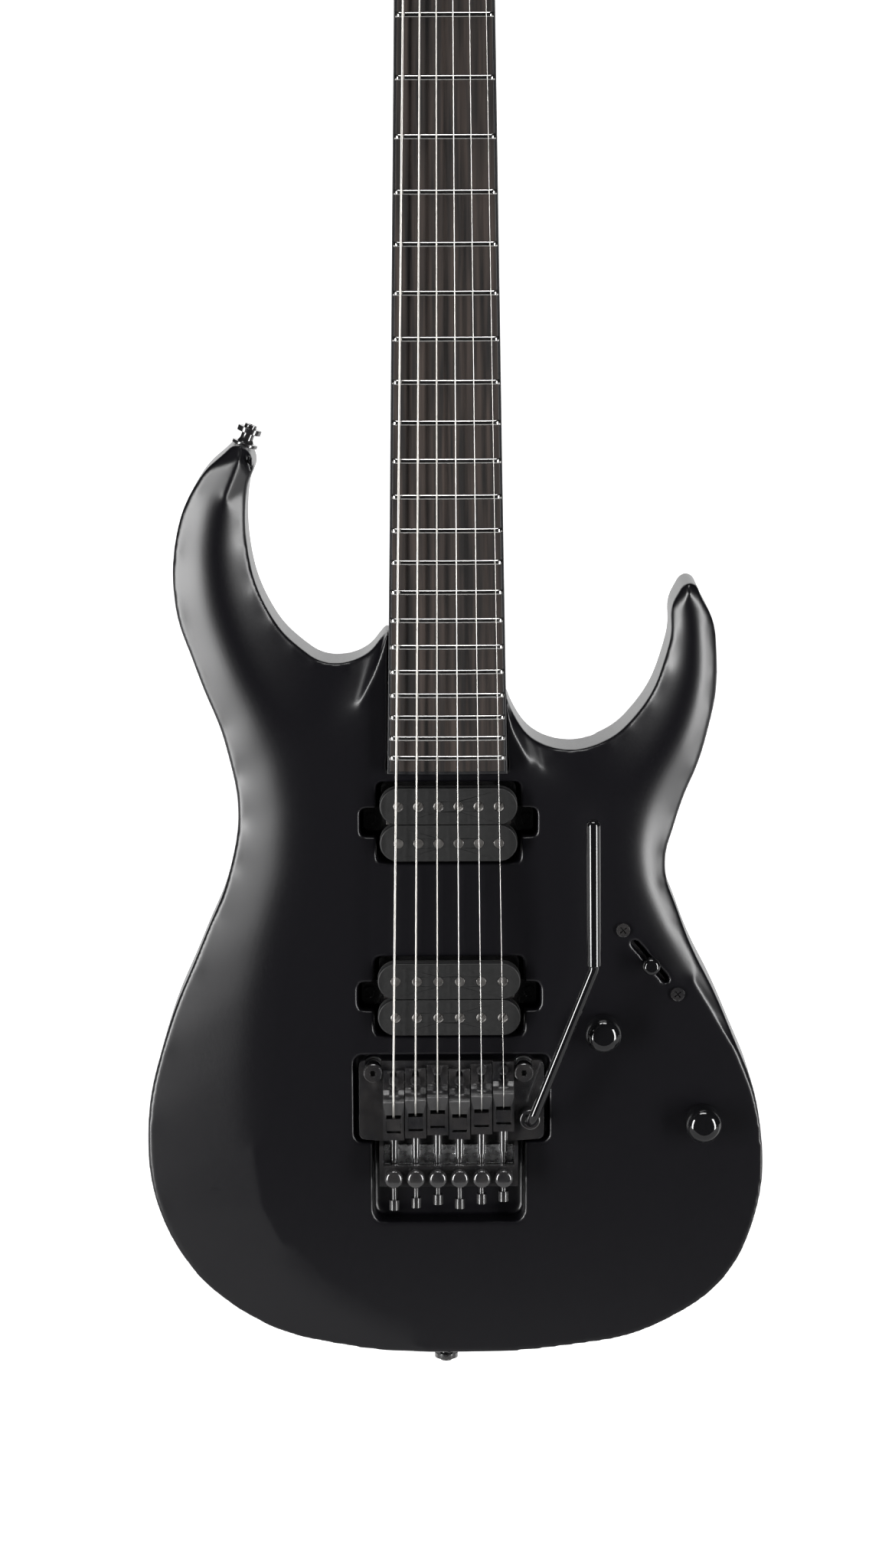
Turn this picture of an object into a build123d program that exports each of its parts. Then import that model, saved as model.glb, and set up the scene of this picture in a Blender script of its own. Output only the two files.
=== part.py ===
from build123d import *
import os
from math import cos, radians, sin, sqrt

os.makedirs("parts", exist_ok=True)

# Electric guitar with a recessed locking tremolo, held upright: +Z runs up the neck, +X is the
# treble side and the front faces -Y.  The origin is on the centre line, at the nut line, in the
# plane of the body's top.  Heights are measured forward of that plane, so y = -height.

# ---------------------------------------------------------------- driving dimensions (mm)
SCALE_LENGTH = 648.0
BODY_THICKNESS = 43.0
NUT_WIDTH = 43.0
BOARD_END_WIDTH = 58.0
BOARD_OVERHANG = 8.0          # fretboard past the last fret
BOARD_THICKNESS = 6.0
BOARD_HEIGHT = 8.0            # playing surface above the body's top
BOARD_RADIUS = 400.0
BINDING = 1.4
FRET_COUNT = 24
FRET_WIDTH = 2.6
FRET_CROWN = 1.2
FRET_TANG = 1.8
FRET_MARGIN = 0.6             # each fret's ends stop this far inside the board's edge
NECK_DEPTH_NUT = 13.5         # wood under the fretboard
NECK_DEPTH_HEEL = 15.5
POCKET_DEPTH = 16.0
HEAD_TILT = 10.5
HEAD_THICKNESS = 14.0
HEAD_START = 17.0             # nut line to the headstock's face
TUNER_PITCH = 25.5
TUNER_SHIFT = 7.4             # each post sits this much nearer the treble side
STRING_GAUGES = (1.17, 0.91, 0.66, 0.43, 0.33, 0.25)
NUT_SPACING = 7.0
BRIDGE_SPACING = 10.8
STRING_HEIGHT_NUT = 9.6       # underside of the strings, on the centre line
STRING_HEIGHT_BRIDGE = 12.3
STUD_SPACING = 74.3
STUD_Z = 3.9                  # studs above the bridge line
PICKUP_ROWS = 18.2            # between a pickup's two rows of poles
PICKUP_HEIGHT = 6.5           # top of the bobbins above the body's top
PICKUP_DEPTH = 19.0
NECK_PICKUP_LENGTH = 67.0
BRIDGE_PICKUP_LENGTH = 70.0
BRIDGE_PICKUP_Z = 41.5
NECK_PICKUP_POLES = 9.75
BRIDGE_PICKUP_POLES = 10.5
SPRING_CAVITY_DEPTH = 17.0
SPRING_CAVITY_WIDTH = 82.0
SPRING_COUNT = 3
KNOB_DIAMETER = 17.6
KNOB_HEIGHT = 14.0
POT_DIAMETER = 16.5
TOP_SKIN = 8.0                # wood left over the control cavity
COVER_THICKNESS = 2.0
COVER_LEDGE = 6.0
SWITCH_SCREW_SPACING = 42.0
ARM_DIAMETER = 6.0
GAP = 0.3                     # between pieces that move past each other
RUNNING = 0.05                # radial clearance of a shaft in its hole
SEAT = 0.1                    # clearance of a piece in its pocket

# ---------------------------------------------------------------- places worked out from them
BRIDGE = -SCALE_LENGTH
STRETCH = SCALE_LENGTH / 648.0
LAST_FRET = SCALE_LENGTH * (1 - 2 ** (-FRET_COUNT / 12))
BOARD_LENGTH = LAST_FRET + BOARD_OVERHANG
BOARD_END = SCALE_LENGTH - BOARD_LENGTH       # above the bridge line
NECK_TOP = BOARD_HEIGHT - BOARD_THICKNESS     # height of the glue face under the fretboard
NECK_PICKUP_Z = BOARD_END - 25.3
STRINGS = range(6)
HEAD = Plane(
    origin=(0, -NECK_TOP, HEAD_START),
    x_dir=(1, 0, 0),
    z_dir=(0, -cos(radians(HEAD_TILT)), sin(radians(HEAD_TILT))),
)


def front(height, z=BRIDGE):
    """Plane facing the player, at a height above the body's top, with its origin at z."""
    return Plane(origin=(0, -height, z), x_dir=(1, 0, 0), z_dir=(0, -1, 0))


def side(x, z=BRIDGE):
    """Upright plane across the body: first coordinate is height, second is up."""
    return Plane(origin=(x, 0, z), x_dir=(0, -1, 0), z_dir=(-1, 0, 0))


def on_body(x, z, height=0.0):
    """A point of the body, which keeps its place along the scale length."""
    return Vector(x, -height, BRIDGE + z * STRETCH)


def half_width(z):
    """Half the neck's width, z below the nut being negative."""
    return (NUT_WIDTH + (BOARD_END_WIDTH - NUT_WIDTH) * -z / BOARD_LENGTH) / 2


def across_bridge(i):
    return (i - 2.5) * BRIDGE_SPACING


def across_nut(i):
    return (i - 2.5) * NUT_SPACING


def rise(height, x):
    """Height at x of a surface with the fretboard's radius and this height at its middle."""
    return height - x * x / (2 * BOARD_RADIUS)


def bridge_string_height(i):
    return rise(STRING_HEIGHT_BRIDGE, across_bridge(i)) + STRING_GAUGES[i] / 2 + RUNNING


def nut_string_height(i):
    return rise(STRING_HEIGHT_NUT, across_nut(i)) + STRING_GAUGES[i] / 2 + RUNNING


# ---------------------------------------------------------------- body
# The edge runs from the neck's bass side round the bass horn, the lower end and the treble
# horn, and back to the neck.
BODY_EDGE = (
    (-29.5, 221.5), (-40, 210), (-56, 206), (-75, 217), (-89.5, 238.5), (-96.3, 266.5),
    (-95.5, 292), (-92.5, 305), (-98, 312), (-110, 305.5), (-124, 287), (-131.5, 260.5),
    (-131, 232.5), (-121.5, 202.5), (-108, 165.5), (-102.3, 131.5), (-107.5, 100.5), (-121, 66.5),
    (-138, 24.5), (-149, -23), (-147, -60.5), (-126, -103), (-92, -128.5), (-45, -140), (0, -142),
    (50, -139.5), (100, -129), (137, -103), (153.5, -64.5), (152.5, -15), (136, 30.5), (114.5, 78),
    (106.5, 106), (112, 129.5), (125, 165.5), (131, 201), (125, 234.5), (116, 245), (110.8, 238.5),
    (107.5, 215), (95, 184.5), (78, 168), (58.5, 163), (41, 169.5), (32, 182), (29, 189.5),
)
# Each slope is ruled from its inner line in the top to an outer line past the body's edge,
# given as x, z and depth.
BASS_SLOPE = (
    ((-99, 306), (-96, 322.5, 8.5)), ((-109, 284), (-127, 297, 8.5)),
    ((-112.5, 258.5), (-136, 262.5, 9)), ((-109, 232.5), (-135, 228.5, 9.5)),
    ((-101, 209), (-126, 199, 10)), ((-90, 186), (-114, 170, 10)),
    ((-80, 163.5), (-107.5, 145.5, 10)), ((-75, 136.5), (-106.5, 123.5, 10)),
    ((-77, 106), (-111, 102, 10)), ((-84, 80), (-120, 77, 10)),
    ((-91, 50.5), (-133, 46.5, 10)), ((-96, 15), (-147, 7, 10)),
    ((-96.5, -25), (-153.5, -30, 10)), ((-91, -64.5), (-149, -70.5, 9.5)),
    ((-76, -95), (-128, -108, 8.5)), ((-54, -117), (-92, -133.5, 6.5)),
    ((-28, -133.5), (-46, -145, 4)), ((-8, -141.5), (-10, -147, 2)),
)
BASS_CUTAWAY = (
    ((-99, 306), (-96, 322.5, 8.5)), ((-108, 284), (-91.5, 292, 9)),
    ((-111.5, 260.5), (-92, 268, 9)), ((-109, 235.5), (-87, 244.5, 9)),
    ((-102, 213), (-80, 230.5, 9)), ((-93, 194), (-70, 218.5, 9)),
    ((-83, 180), (-60, 212, 9)), ((-72, 172), (-51, 210.5, 9)),
    ((-62, 169.5), (-44, 212, 9)), ((-53, 174), (-38, 216, 9)),
    ((-44, 184), (-33, 221.5, 9)), ((-36, 200), (-30, 226.5, 9)), ((-31, 215), (-27, 230.5, 9)),
)
TREBLE_SLOPE = (
    ((116.5, 241.5), (116, 254.5, 7)), ((120, 222.5), (131, 235.5, 8)),
    ((120.5, 199), (135.5, 203, 9)), ((114, 176), (132, 173, 9)),
    ((103, 156.5), (122, 145.5, 9)), ((95, 139.5), (114, 128.5, 9)),
    ((91.5, 119.5), (109.5, 112, 9)), ((93.5, 101), (110.5, 95, 8.5)),
    ((101, 82), (118, 76, 8)), ((114, 58.5), (131, 50.5, 7)),
    ((128, 35.5), (143.5, 24.5, 6)), ((140, 16), (152, 1, 4.5)),
    ((148, -3), (157, -19, 3)), ((153, -21), (159, -36.5, 1.5)),
)
TREBLE_CUTAWAY = (
    ((116.5, 241.5), (116, 254.5, 7)), ((119, 222.5), (104.5, 228.5, 8)),
    ((118, 199), (101.5, 209, 8.5)), ((111, 177), (93, 192, 8.5)),
    ((102, 160.5), (84, 179, 8.5)), ((92, 149.5), (75, 171, 8.5)),
    ((80, 143), (66, 168, 8.5)), ((70, 141), (57, 167.5, 8.5)),
    ((59, 142), (49, 169.5, 8.5)), ((49, 147.5), (42, 174, 8.5)),
    ((40, 157.5), (36, 183, 8.5)), ((33, 171), (30, 193, 8.5)), ((29.5, 184), (27.5, 199, 8.5)),
)
BELLY_SLOPE = (
    ((-126, 230.5), (-144, 244.5, 2)), ((-100, 198), (-132, 198, 9)),
    ((-74, 165.5), (-114, 163.5, 14)), ((-62, 133.5), (-108, 133.5, 16)),
    ((-66, 99), (-113, 100, 15)), ((-88, 68.5), (-126, 70, 11)),
    ((-118, 44.5), (-140, 42.5, 5)), ((-140, 24.5), (-150, 17, 1)),
)
HEEL_SLOPE = (
    ((-74, 207), (-70, 232.5, 9)), ((-42, 188), (-42, 232.5, 12)), ((0, 175), (0, 236.5, 14)),
    ((38, 145.5), (42, 207, 12)), ((74, 143.5), (72, 183, 9)),
)
BACK_ROUND = 4.0
SLOPE_START = 0.3             # slopes start this far outside the face, so that they cut cleanly


def slope_cutter(rulings, face_height, outward):
    """The material outside a faceted slope that falls away from a face of the body."""
    cap_height = face_height + outward * 15
    inner = []
    outer = []
    inner_cap = []
    outer_cap = []
    for (x_in, z_in), (x_out, z_out, depth) in rulings:
        inner.append(on_body(x_in, z_in, face_height + outward * SLOPE_START))
        outer.append(on_body(x_out, z_out, face_height - outward * depth))
        inner_cap.append(on_body(x_in, z_in, cap_height))
        outer_cap.append(on_body(x_out, z_out, cap_height))
    corners = [
        (inner[0], outer[0], outer_cap[0], inner_cap[0]),
        (inner[-1], outer[-1], outer_cap[-1], inner_cap[-1]),
        inner_cap + outer_cap[::-1],
    ]
    for i in range(len(rulings) - 1):
        corners.append((inner[i], outer[i], outer[i + 1]))
        corners.append((inner[i], outer[i + 1], inner[i + 1]))
        corners.append((inner[i], inner[i + 1], inner_cap[i + 1], inner_cap[i]))
        corners.append((outer[i], outer[i + 1], outer_cap[i + 1], outer_cap[i]))
    return Solid(Shell([Face(Wire.make_polygon(ring)) for ring in corners]))


# Recess for the tremolo, plate and tail sizes.
PLATE_LEFT = STUD_SPACING / 2 + 6.9
PLATE_RIGHT = STUD_SPACING / 2 + 9.8
PLATE_FRONT = STUD_Z + 5.6
PLATE_REAR = -31.3
TAIL_HALF = BRIDGE_SPACING * 2.5 + 7.1
TAIL_REAR = -51.9
PLATE_TOP = 1.5
PLATE_THICKNESS = 3.5
RECESS_DEPTH = 9.0
TAIL_RECESS_DEPTH = 13.0
RECESS_SIDE = 2.4
TAIL_RECESS_REAR = -73.4
BLOCK_HALF = STUD_SPACING / 2 - 8.5
BLOCK_FRONT = -6.5
BLOCK_REAR = -17.5
BLOCK_END = 5.0               # block stops this far above the body's back
SPRING_AXIS = BODY_THICKNESS - 8.0
CLAW_Z = 78.0
SPRING_CAVITY_TOP = 93.0
CLAW_SCREWS = (-22.0, 22.0)
SPRING_CAVITY_LOW = -38.0
PICKUP_WEB = 6.0
PICKUP_POCKET = BODY_THICKNESS - SPRING_CAVITY_DEPTH - PICKUP_WEB
VOLUME_AT = (76.0, 23.9)
TONE_AT = (125.4, -21.9)
SWITCH_AT = (99.2, 58.6)
SWITCH_ANGLE = -50.2
JACK_AT = (149.0, -79.5)
JACK_ANGLE = -25.0
JACK_HEIGHT = -BODY_THICKNESS / 2
JACK_BARREL = 12.0
JACK_FLANGE = 17.0
JACK_RECESS = 3.5
STRAP_HEIGHT = -BODY_THICKNESS / 2
STRAP_FLANGE = 12.7
UPPER_STRAP_AT = (-97.4, 310.7)
UPPER_STRAP_TILT = 19.3
LOWER_STRAP_AT = (-1.5, -141.8)
CONTROL_CAVITY = (
    (60, 27), (72, 73), (90, 87), (104, 79), (118, 49), (132, 9), (137, -31),
    (122, -55), (104, -63), (96, -39), (70, -1),
)
NECK_SCREWS = ((-19, 12, 1.5), (19, 12, 1.5), (-19, 50, 9.0), (19, 36, 8.5))
SCREW_SHANK = 4.5
FERRULE = 14.0
FERRULE_DEPTH = 3.0
COVER_SCREW = 3.0
SPRING_COVER_SCREWS = [(x, z) for x in (-42.5, 42.5) for z in (SPRING_CAVITY_LOW - 1, 27, 94)]
CONTROL_COVER_SCREWS = ((60, 7), (64, 75), (107, 83), (138, -21), (104, -68))


def pickup_sites():
    """Centre above the bridge line, length and pole spacing of the two pickups."""
    yield NECK_PICKUP_Z, NECK_PICKUP_LENGTH, NECK_PICKUP_POLES
    yield BRIDGE_PICKUP_Z, BRIDGE_PICKUP_LENGTH, BRIDGE_PICKUP_POLES


PICKUP_WIDTH = 37.0
PICKUP_MARGIN = 1.6
EAR_WIDTH = 12.0
EAR_REACH = 9.0
POLE_MIDDLE = 0.5


def strap_plane(place, tilt):
    """Seat of a strap button, facing away from the body."""
    lean = radians(tilt)
    spot = on_body(place[0], place[1], STRAP_HEIGHT)
    return Plane(origin=spot, x_dir=(0, -1, 0), z_dir=(sin(lean), 0, cos(lean)))


UPPER_SEAT = strap_plane(UPPER_STRAP_AT, UPPER_STRAP_TILT)
LOWER_SEAT = strap_plane(LOWER_STRAP_AT, 180)
JACK_PLANE = Plane(
    origin=on_body(JACK_AT[0], JACK_AT[1], JACK_HEIGHT),
    x_dir=(0, -1, 0),
    z_dir=(cos(radians(JACK_ANGLE)), 0, sin(radians(JACK_ANGLE))),
)
cavity_points = [(x, z * STRETCH) for x, z in CONTROL_CAVITY]
edge_points = [Vector(x, z * STRETCH) for x, z in BODY_EDGE]


def edge_direction(i):
    """Direction of the body's edge at a point: that of the circle through its neighbours."""
    if i in (0, len(edge_points) - 1):
        near = edge_points[1] if i == 0 else edge_points[-2]
        return (near - edge_points[i]).normalized() * (1 if i == 0 else -1)
    before = edge_points[i] - edge_points[i - 1]
    after = edge_points[i + 1] - edge_points[i]
    ratio = before.length / after.length
    return (before / ratio + after * ratio).normalized()


def arc_joint(start, leaving, end, arriving):
    """Where two arcs meet that leave start and reach end in the given directions."""
    chord = end - start
    both = chord.dot(leaving + arriving)
    spread = 2 * (1 - leaving.dot(arriving))
    if spread < 1e-6:
        reach = chord.length / 2
    else:
        reach = (sqrt(both * both + spread * chord.dot(chord)) - both) / spread
    return (start + end + (leaving - arriving) * reach) / 2


def pocket_outline(margin):
    """Outline of the neck heel from the fretboard's end upwards, grown by a margin."""
    low = -BOARD_LENGTH - margin
    high = low + 95 * STRETCH
    points = [
        (-half_width(low) - margin, low), (half_width(low) + margin, low),
        (half_width(high) + margin, high), (-half_width(high) - margin, high),
    ]
    return Polyline(*points, close=True)


with BuildPart() as body:
    with BuildSketch(front(-BODY_THICKNESS)) as body_outline:
        with BuildLine():
            for i in range(len(edge_points) - 1):
                start, leaving = edge_points[i], edge_direction(i)
                end, arriving = edge_points[i + 1], edge_direction(i + 1)
                middle = arc_joint(start, leaving, end, arriving)
                TangentArc(start, middle, tangent=leaving)
                TangentArc(end, middle, tangent=-arriving)
            Line(edge_points[-1], edge_points[0])
        make_face()
    extrude(amount=BODY_THICKNESS)
    fillet(body.edges().group_by(Axis.Y)[-1], BACK_ROUND)
    for rulings in (BASS_SLOPE, BASS_CUTAWAY, TREBLE_SLOPE, TREBLE_CUTAWAY):
        add(slope_cutter(rulings, 0, 1), mode=Mode.SUBTRACT)
    for rulings in (BELLY_SLOPE, HEEL_SLOPE):
        add(slope_cutter(rulings, -BODY_THICKNESS, -1), mode=Mode.SUBTRACT)
    # neck pocket
    with BuildSketch(front(-POCKET_DEPTH, 0)):
        with BuildLine():
            pocket_outline(SEAT)
        make_face()
    extrude(amount=POCKET_DEPTH + 1, mode=Mode.SUBTRACT)
    # tremolo recess, tail recess and the opening for the sustain block
    with BuildSketch(front(-RECESS_DEPTH)):
        with BuildLine():
            left = -PLATE_LEFT - RECESS_SIDE
            right = PLATE_RIGHT + RECESS_SIDE + 0.3
            top = PLATE_FRONT + RECESS_SIDE
            low = PLATE_REAR - 1.2
            Polyline((left, low), (right, low), (right, top), (left, top), close=True)
        make_face()
        fillet(vertices(), 4)
    extrude(amount=RECESS_DEPTH + 1, mode=Mode.SUBTRACT)
    with BuildSketch(front(-TAIL_RECESS_DEPTH)):
        with BuildLine():
            edge = TAIL_HALF + 3
            Polyline(
                (-edge, TAIL_RECESS_REAR), (edge, TAIL_RECESS_REAR), (edge, -24), (-edge, -24),
                close=True,
            )
        make_face()
        fillet(vertices().group_by(Axis.Z)[0], 5)
    extrude(amount=TAIL_RECESS_DEPTH + 1, mode=Mode.SUBTRACT)
    with BuildSketch(front(-BODY_THICKNESS)):
        with Locations((0, -16)):
            RectangleRounded(2 * BLOCK_HALF + 6, 36, 5)
    extrude(amount=BODY_THICKNESS - 1, mode=Mode.SUBTRACT)
    # spring cavity and its cover's recess, from the back
    with BuildSketch(front(-BODY_THICKNESS)):
        with Locations((0, (SPRING_CAVITY_TOP + SPRING_CAVITY_LOW) / 2)):
            RectangleRounded(
                SPRING_CAVITY_WIDTH, SPRING_CAVITY_TOP - SPRING_CAVITY_LOW, 6
            )
    extrude(amount=SPRING_CAVITY_DEPTH, mode=Mode.SUBTRACT)
    with BuildSketch(front(-BODY_THICKNESS)):
        with Locations((0, (SPRING_CAVITY_TOP + SPRING_CAVITY_LOW) / 2)):
            RectangleRounded(
                SPRING_CAVITY_WIDTH + 2 * COVER_LEDGE,
                SPRING_CAVITY_TOP - SPRING_CAVITY_LOW + 2 * COVER_LEDGE,
                8,
            )
    extrude(amount=COVER_THICKNESS, mode=Mode.SUBTRACT)
    # control cavity and its cover's recess
    with BuildSketch(front(-BODY_THICKNESS)):
        with BuildLine():
            Polyline(*cavity_points, close=True)
        make_face()
        fillet(vertices(), 7)
    extrude(amount=BODY_THICKNESS - TOP_SKIN, mode=Mode.SUBTRACT)
    with BuildSketch(front(-BODY_THICKNESS)):
        with BuildLine():
            Polyline(*cavity_points, close=True)
        make_face()
        fillet(vertices(), 7)
        offset(amount=COVER_LEDGE)
    extrude(amount=COVER_THICKNESS, mode=Mode.SUBTRACT)
    # pickup cavities, each with pockets for the mounting ears
    for centre, length, spacing in pickup_sites():
        with BuildSketch(front(-PICKUP_POCKET)):
            with Locations((POLE_MIDDLE, centre)):
                RectangleRounded(length + 2 * PICKUP_MARGIN, PICKUP_WIDTH + 3.4, 3)
                RectangleRounded(length + 2 * EAR_REACH + 1.5, EAR_WIDTH + 2.5, 3)
        extrude(amount=PICKUP_POCKET + 1, mode=Mode.SUBTRACT)
    # wiring channels
    channel_height = -PICKUP_POCKET + 6
    channel_x = NECK_PICKUP_LENGTH / 2 - 8
    with BuildSketch(Plane.XY.offset(BRIDGE + BRIDGE_PICKUP_Z)):
        with Locations((channel_x, -channel_height)):
            Circle(3.5)
    extrude(amount=NECK_PICKUP_Z - BRIDGE_PICKUP_Z, mode=Mode.SUBTRACT)
    with BuildSketch(side(cavity_points[0][0] + 14)):
        with Locations((channel_height, cavity_points[0][1] + 8)):
            Circle(3.5)
    extrude(amount=cavity_points[0][0] - 20, mode=Mode.SUBTRACT)
    # studs' bushings, pots, switch slot, jack, strap buttons and screws
    with BuildSketch(front(-RECESS_DEPTH - 16)):
        with Locations((-STUD_SPACING / 2, STUD_Z), (STUD_SPACING / 2, STUD_Z)):
            Circle(5.0)
    extrude(amount=25, mode=Mode.SUBTRACT)
    with BuildSketch(front(-TOP_SKIN - 1)):
        with Locations(*[(x, z * STRETCH) for x, z in (VOLUME_AT, TONE_AT)]):
            Circle(3.8)
    extrude(amount=TOP_SKIN + 2, mode=Mode.SUBTRACT)
    with BuildSketch(front(-TOP_SKIN - 1)):
        with Locations(Location((SWITCH_AT[0], SWITCH_AT[1] * STRETCH), SWITCH_ANGLE)):
            SlotOverall(27.3, 3.6)
            with Locations((-SWITCH_SCREW_SPACING / 2, 0), (SWITCH_SCREW_SPACING / 2, 0)):
                Circle(1.75)
    extrude(amount=TOP_SKIN + 2, mode=Mode.SUBTRACT)
    with BuildSketch(JACK_PLANE.offset(-46)):
        Circle(JACK_BARREL / 2 + SEAT)
    extrude(amount=60, mode=Mode.SUBTRACT)
    with BuildSketch(JACK_PLANE.offset(-JACK_RECESS)):
        Circle(JACK_FLANGE / 2 + 0.5)
    extrude(amount=20, mode=Mode.SUBTRACT)
    with BuildSketch(Plane.XY.offset(BRIDGE + SPRING_CAVITY_TOP - 1)):
        with Locations(*[(x, SPRING_AXIS) for x in CLAW_SCREWS]):
            Circle(2.1)
    extrude(amount=27, mode=Mode.SUBTRACT)
    for seat in (UPPER_SEAT, LOWER_SEAT):
        with BuildSketch(seat):
            Circle(STRAP_FLANGE / 2 + 0.3)
        extrude(amount=12, mode=Mode.SUBTRACT)
        with BuildSketch(seat.offset(-26)):
            Circle(1.9)
        extrude(amount=27, mode=Mode.SUBTRACT)
    for x, rise_z, sink in NECK_SCREWS:
        with BuildSketch(front(-BODY_THICKNESS - 1, BRIDGE + BOARD_END)):
            with Locations((x, rise_z * STRETCH)):
                Circle(FERRULE / 2 + SEAT)
        extrude(amount=1 + sink + FERRULE_DEPTH, mode=Mode.SUBTRACT)
        with BuildSketch(front(-BODY_THICKNESS, BRIDGE + BOARD_END)):
            with Locations((x, rise_z * STRETCH)):
                Circle(SCREW_SHANK / 2 + 0.2)
        extrude(amount=BODY_THICKNESS, mode=Mode.SUBTRACT)
    with BuildSketch(front(-BODY_THICKNESS)):
        with Locations(*SPRING_COVER_SCREWS):
            Circle(COVER_SCREW / 2 - 0.4)
        with Locations(*[(x, z * STRETCH) for x, z in CONTROL_COVER_SCREWS]):
            Circle(COVER_SCREW / 2 - 0.4)
    extrude(amount=12, mode=Mode.SUBTRACT)
body.part.label = "body"
export_step(body.part, "parts/body.step")


# ---------------------------------------------------------------- neck, fretboard and frets
HEEL_START = -BOARD_LENGTH + 82 * STRETCH
NECK_SIDE = 3.0               # straight stretch of the neck's side below the fretboard
ROD_WIDTH = 6.0
ROD_DEPTH = 9.0
ROD_END = -BOARD_LENGTH + 60
HEAD_EDGE = (
    (-21.5, -16), (-22.5, 2), (-29, 14), (-36.5, 26), (-37.5, 34), (2.5, 170), (10, 184),
    (20, 190), (28, 178), (34, 150), (35.5, 110), (33, 70), (28.5, 35), (23, 10), (21.5, -16),
)


def post_at(i):
    """Place of a tuner's post on the headstock's face, across and along."""
    return -21.5 + TUNER_SHIFT * i, 36 + TUNER_PITCH * i


TUNER_LINE = Vector(TUNER_SHIFT, TUNER_PITCH, 0).normalized()
TUNER_OUT = Vector(-TUNER_LINE.Y, TUNER_LINE.X, 0)


def on_head(across, along, height=0.0):
    """A point of the headstock, measured on and above its face."""
    return HEAD.from_local_coords(Vector(across, along, height))


def tuner_plane(i, height):
    """Plane square to a tuner's post; its first direction points out to the button."""
    across, along = post_at(i)
    out = on_head(TUNER_OUT.X, TUNER_OUT.Y) - on_head(0, 0)
    return Plane(origin=on_head(across, along, height), x_dir=out, z_dir=HEAD.z_dir)


BUSHING_HOLE = 4.6
with BuildPart() as neck:
    for z, depth in ((HEAD_START + 8, NECK_DEPTH_NUT), (HEEL_START - 6, NECK_DEPTH_HEEL)):
        with BuildSketch(Plane.XY.offset(z)):
            with BuildLine():
                w = half_width(min(z, 0))
                Polyline(
                    (-w, NECK_SIDE - NECK_TOP), (-w, -NECK_TOP), (w, -NECK_TOP),
                    (w, NECK_SIDE - NECK_TOP),
                )
                EllipticalCenterArc(
                    (0, NECK_SIDE - NECK_TOP), w, depth - NECK_SIDE, start_angle=0, arc_size=180
                )
            make_face()
    loft()
    with BuildSketch(front(-POCKET_DEPTH, 0)):
        with BuildLine():
            low = -BOARD_LENGTH
            Polyline(
                (-half_width(low), low), (half_width(low), low),
                (half_width(HEEL_START), HEEL_START), (-half_width(HEEL_START), HEEL_START),
                close=True,
            )
        make_face()
    extrude(amount=POCKET_DEPTH + NECK_TOP)
    with BuildSketch(HEAD.offset(-HEAD_THICKNESS)):
        with BuildLine():
            Polyline(*HEAD_EDGE, close=True)
        make_face()
        fillet(vertices().filter_by(lambda v: v.Z > HEAD_START + 5), 9)
    extrude(amount=HEAD_THICKNESS)
    with BuildSketch(Plane.XY.offset(HEAD_START)):
        with Locations((0, -NECK_TOP - 10)):
            Rectangle(NUT_WIDTH + 20, 20)
    extrude(amount=-2 * HEAD_START, mode=Mode.SUBTRACT)
    with BuildSketch(HEAD):
        with Locations((0, HEAD_START)):
            Rectangle(NUT_WIDTH + 20, 2 * HEAD_START)
    extrude(amount=10, mode=Mode.SUBTRACT)
    # channel for the truss rod, and its pocket behind the nut
    with BuildSketch(front(NECK_TOP, 0)):
        with Locations((0, (HEAD_START + ROD_END) / 2)):
            Rectangle(ROD_WIDTH + 2 * SEAT, HEAD_START - ROD_END + 2 * SEAT)
    extrude(amount=-ROD_DEPTH - SEAT, mode=Mode.SUBTRACT)
    with BuildSketch(HEAD.offset(1)):
        with Locations((0, 12)):
            RectangleRounded(10, 26, 4)
    extrude(amount=-9, mode=Mode.SUBTRACT)
    for i in STRINGS:
        with BuildSketch(tuner_plane(i, -HEAD_THICKNESS - 1)):
            Circle(BUSHING_HOLE + SEAT)
        extrude(amount=HEAD_THICKNESS + 2, mode=Mode.SUBTRACT)
    for x, rise_z, sink in NECK_SCREWS:
        with BuildSketch(front(-POCKET_DEPTH - 1, -BOARD_LENGTH)):
            with Locations((x, rise_z * STRETCH)):
                Circle(SCREW_SHANK / 2 + SEAT)
        extrude(amount=POCKET_DEPTH - 2, mode=Mode.SUBTRACT)
neck.part.label = "neck"
export_step(neck.part, "parts/neck.step")


def board_blank(margin, low, high, bottom, top):
    """Tapered slab with the fretboard's curved face, drawn in from its sides by a margin."""
    with BuildPart() as blank:
        with BuildSketch(front(bottom, 0)):
            with BuildLine():
                Polyline(
                    (-half_width(low) + margin, low), (half_width(low) - margin, low),
                    (half_width(high) - margin, high), (-half_width(high) + margin, high),
                    close=True,
                )
            make_face()
        extrude(amount=top - bottom + 1)
        with BuildSketch(Plane.XY.offset(low - 1)):
            with Locations((0, BOARD_RADIUS - top)):
                Circle(BOARD_RADIUS)
        extrude(amount=high - low + 2, mode=Mode.INTERSECT)
    return blank.part


FRET_LINES = [-SCALE_LENGTH * (1 - 2 ** (-n / 12)) for n in range(1, FRET_COUNT + 1)]
TANG_WIDTH = 0.6
with BuildPart() as fretboard:
    add(board_blank(BINDING, -BOARD_LENGTH + BINDING, 0, NECK_TOP, BOARD_HEIGHT))
    for z in FRET_LINES:
        slot = board_blank(
            BINDING, z - TANG_WIDTH / 2, z + TANG_WIDTH / 2, BOARD_HEIGHT - 2.4, BOARD_HEIGHT + 0.5
        )
        add(slot, mode=Mode.SUBTRACT)
fretboard.part.label = "fretboard"
export_step(fretboard.part, "parts/fretboard.step")

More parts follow.
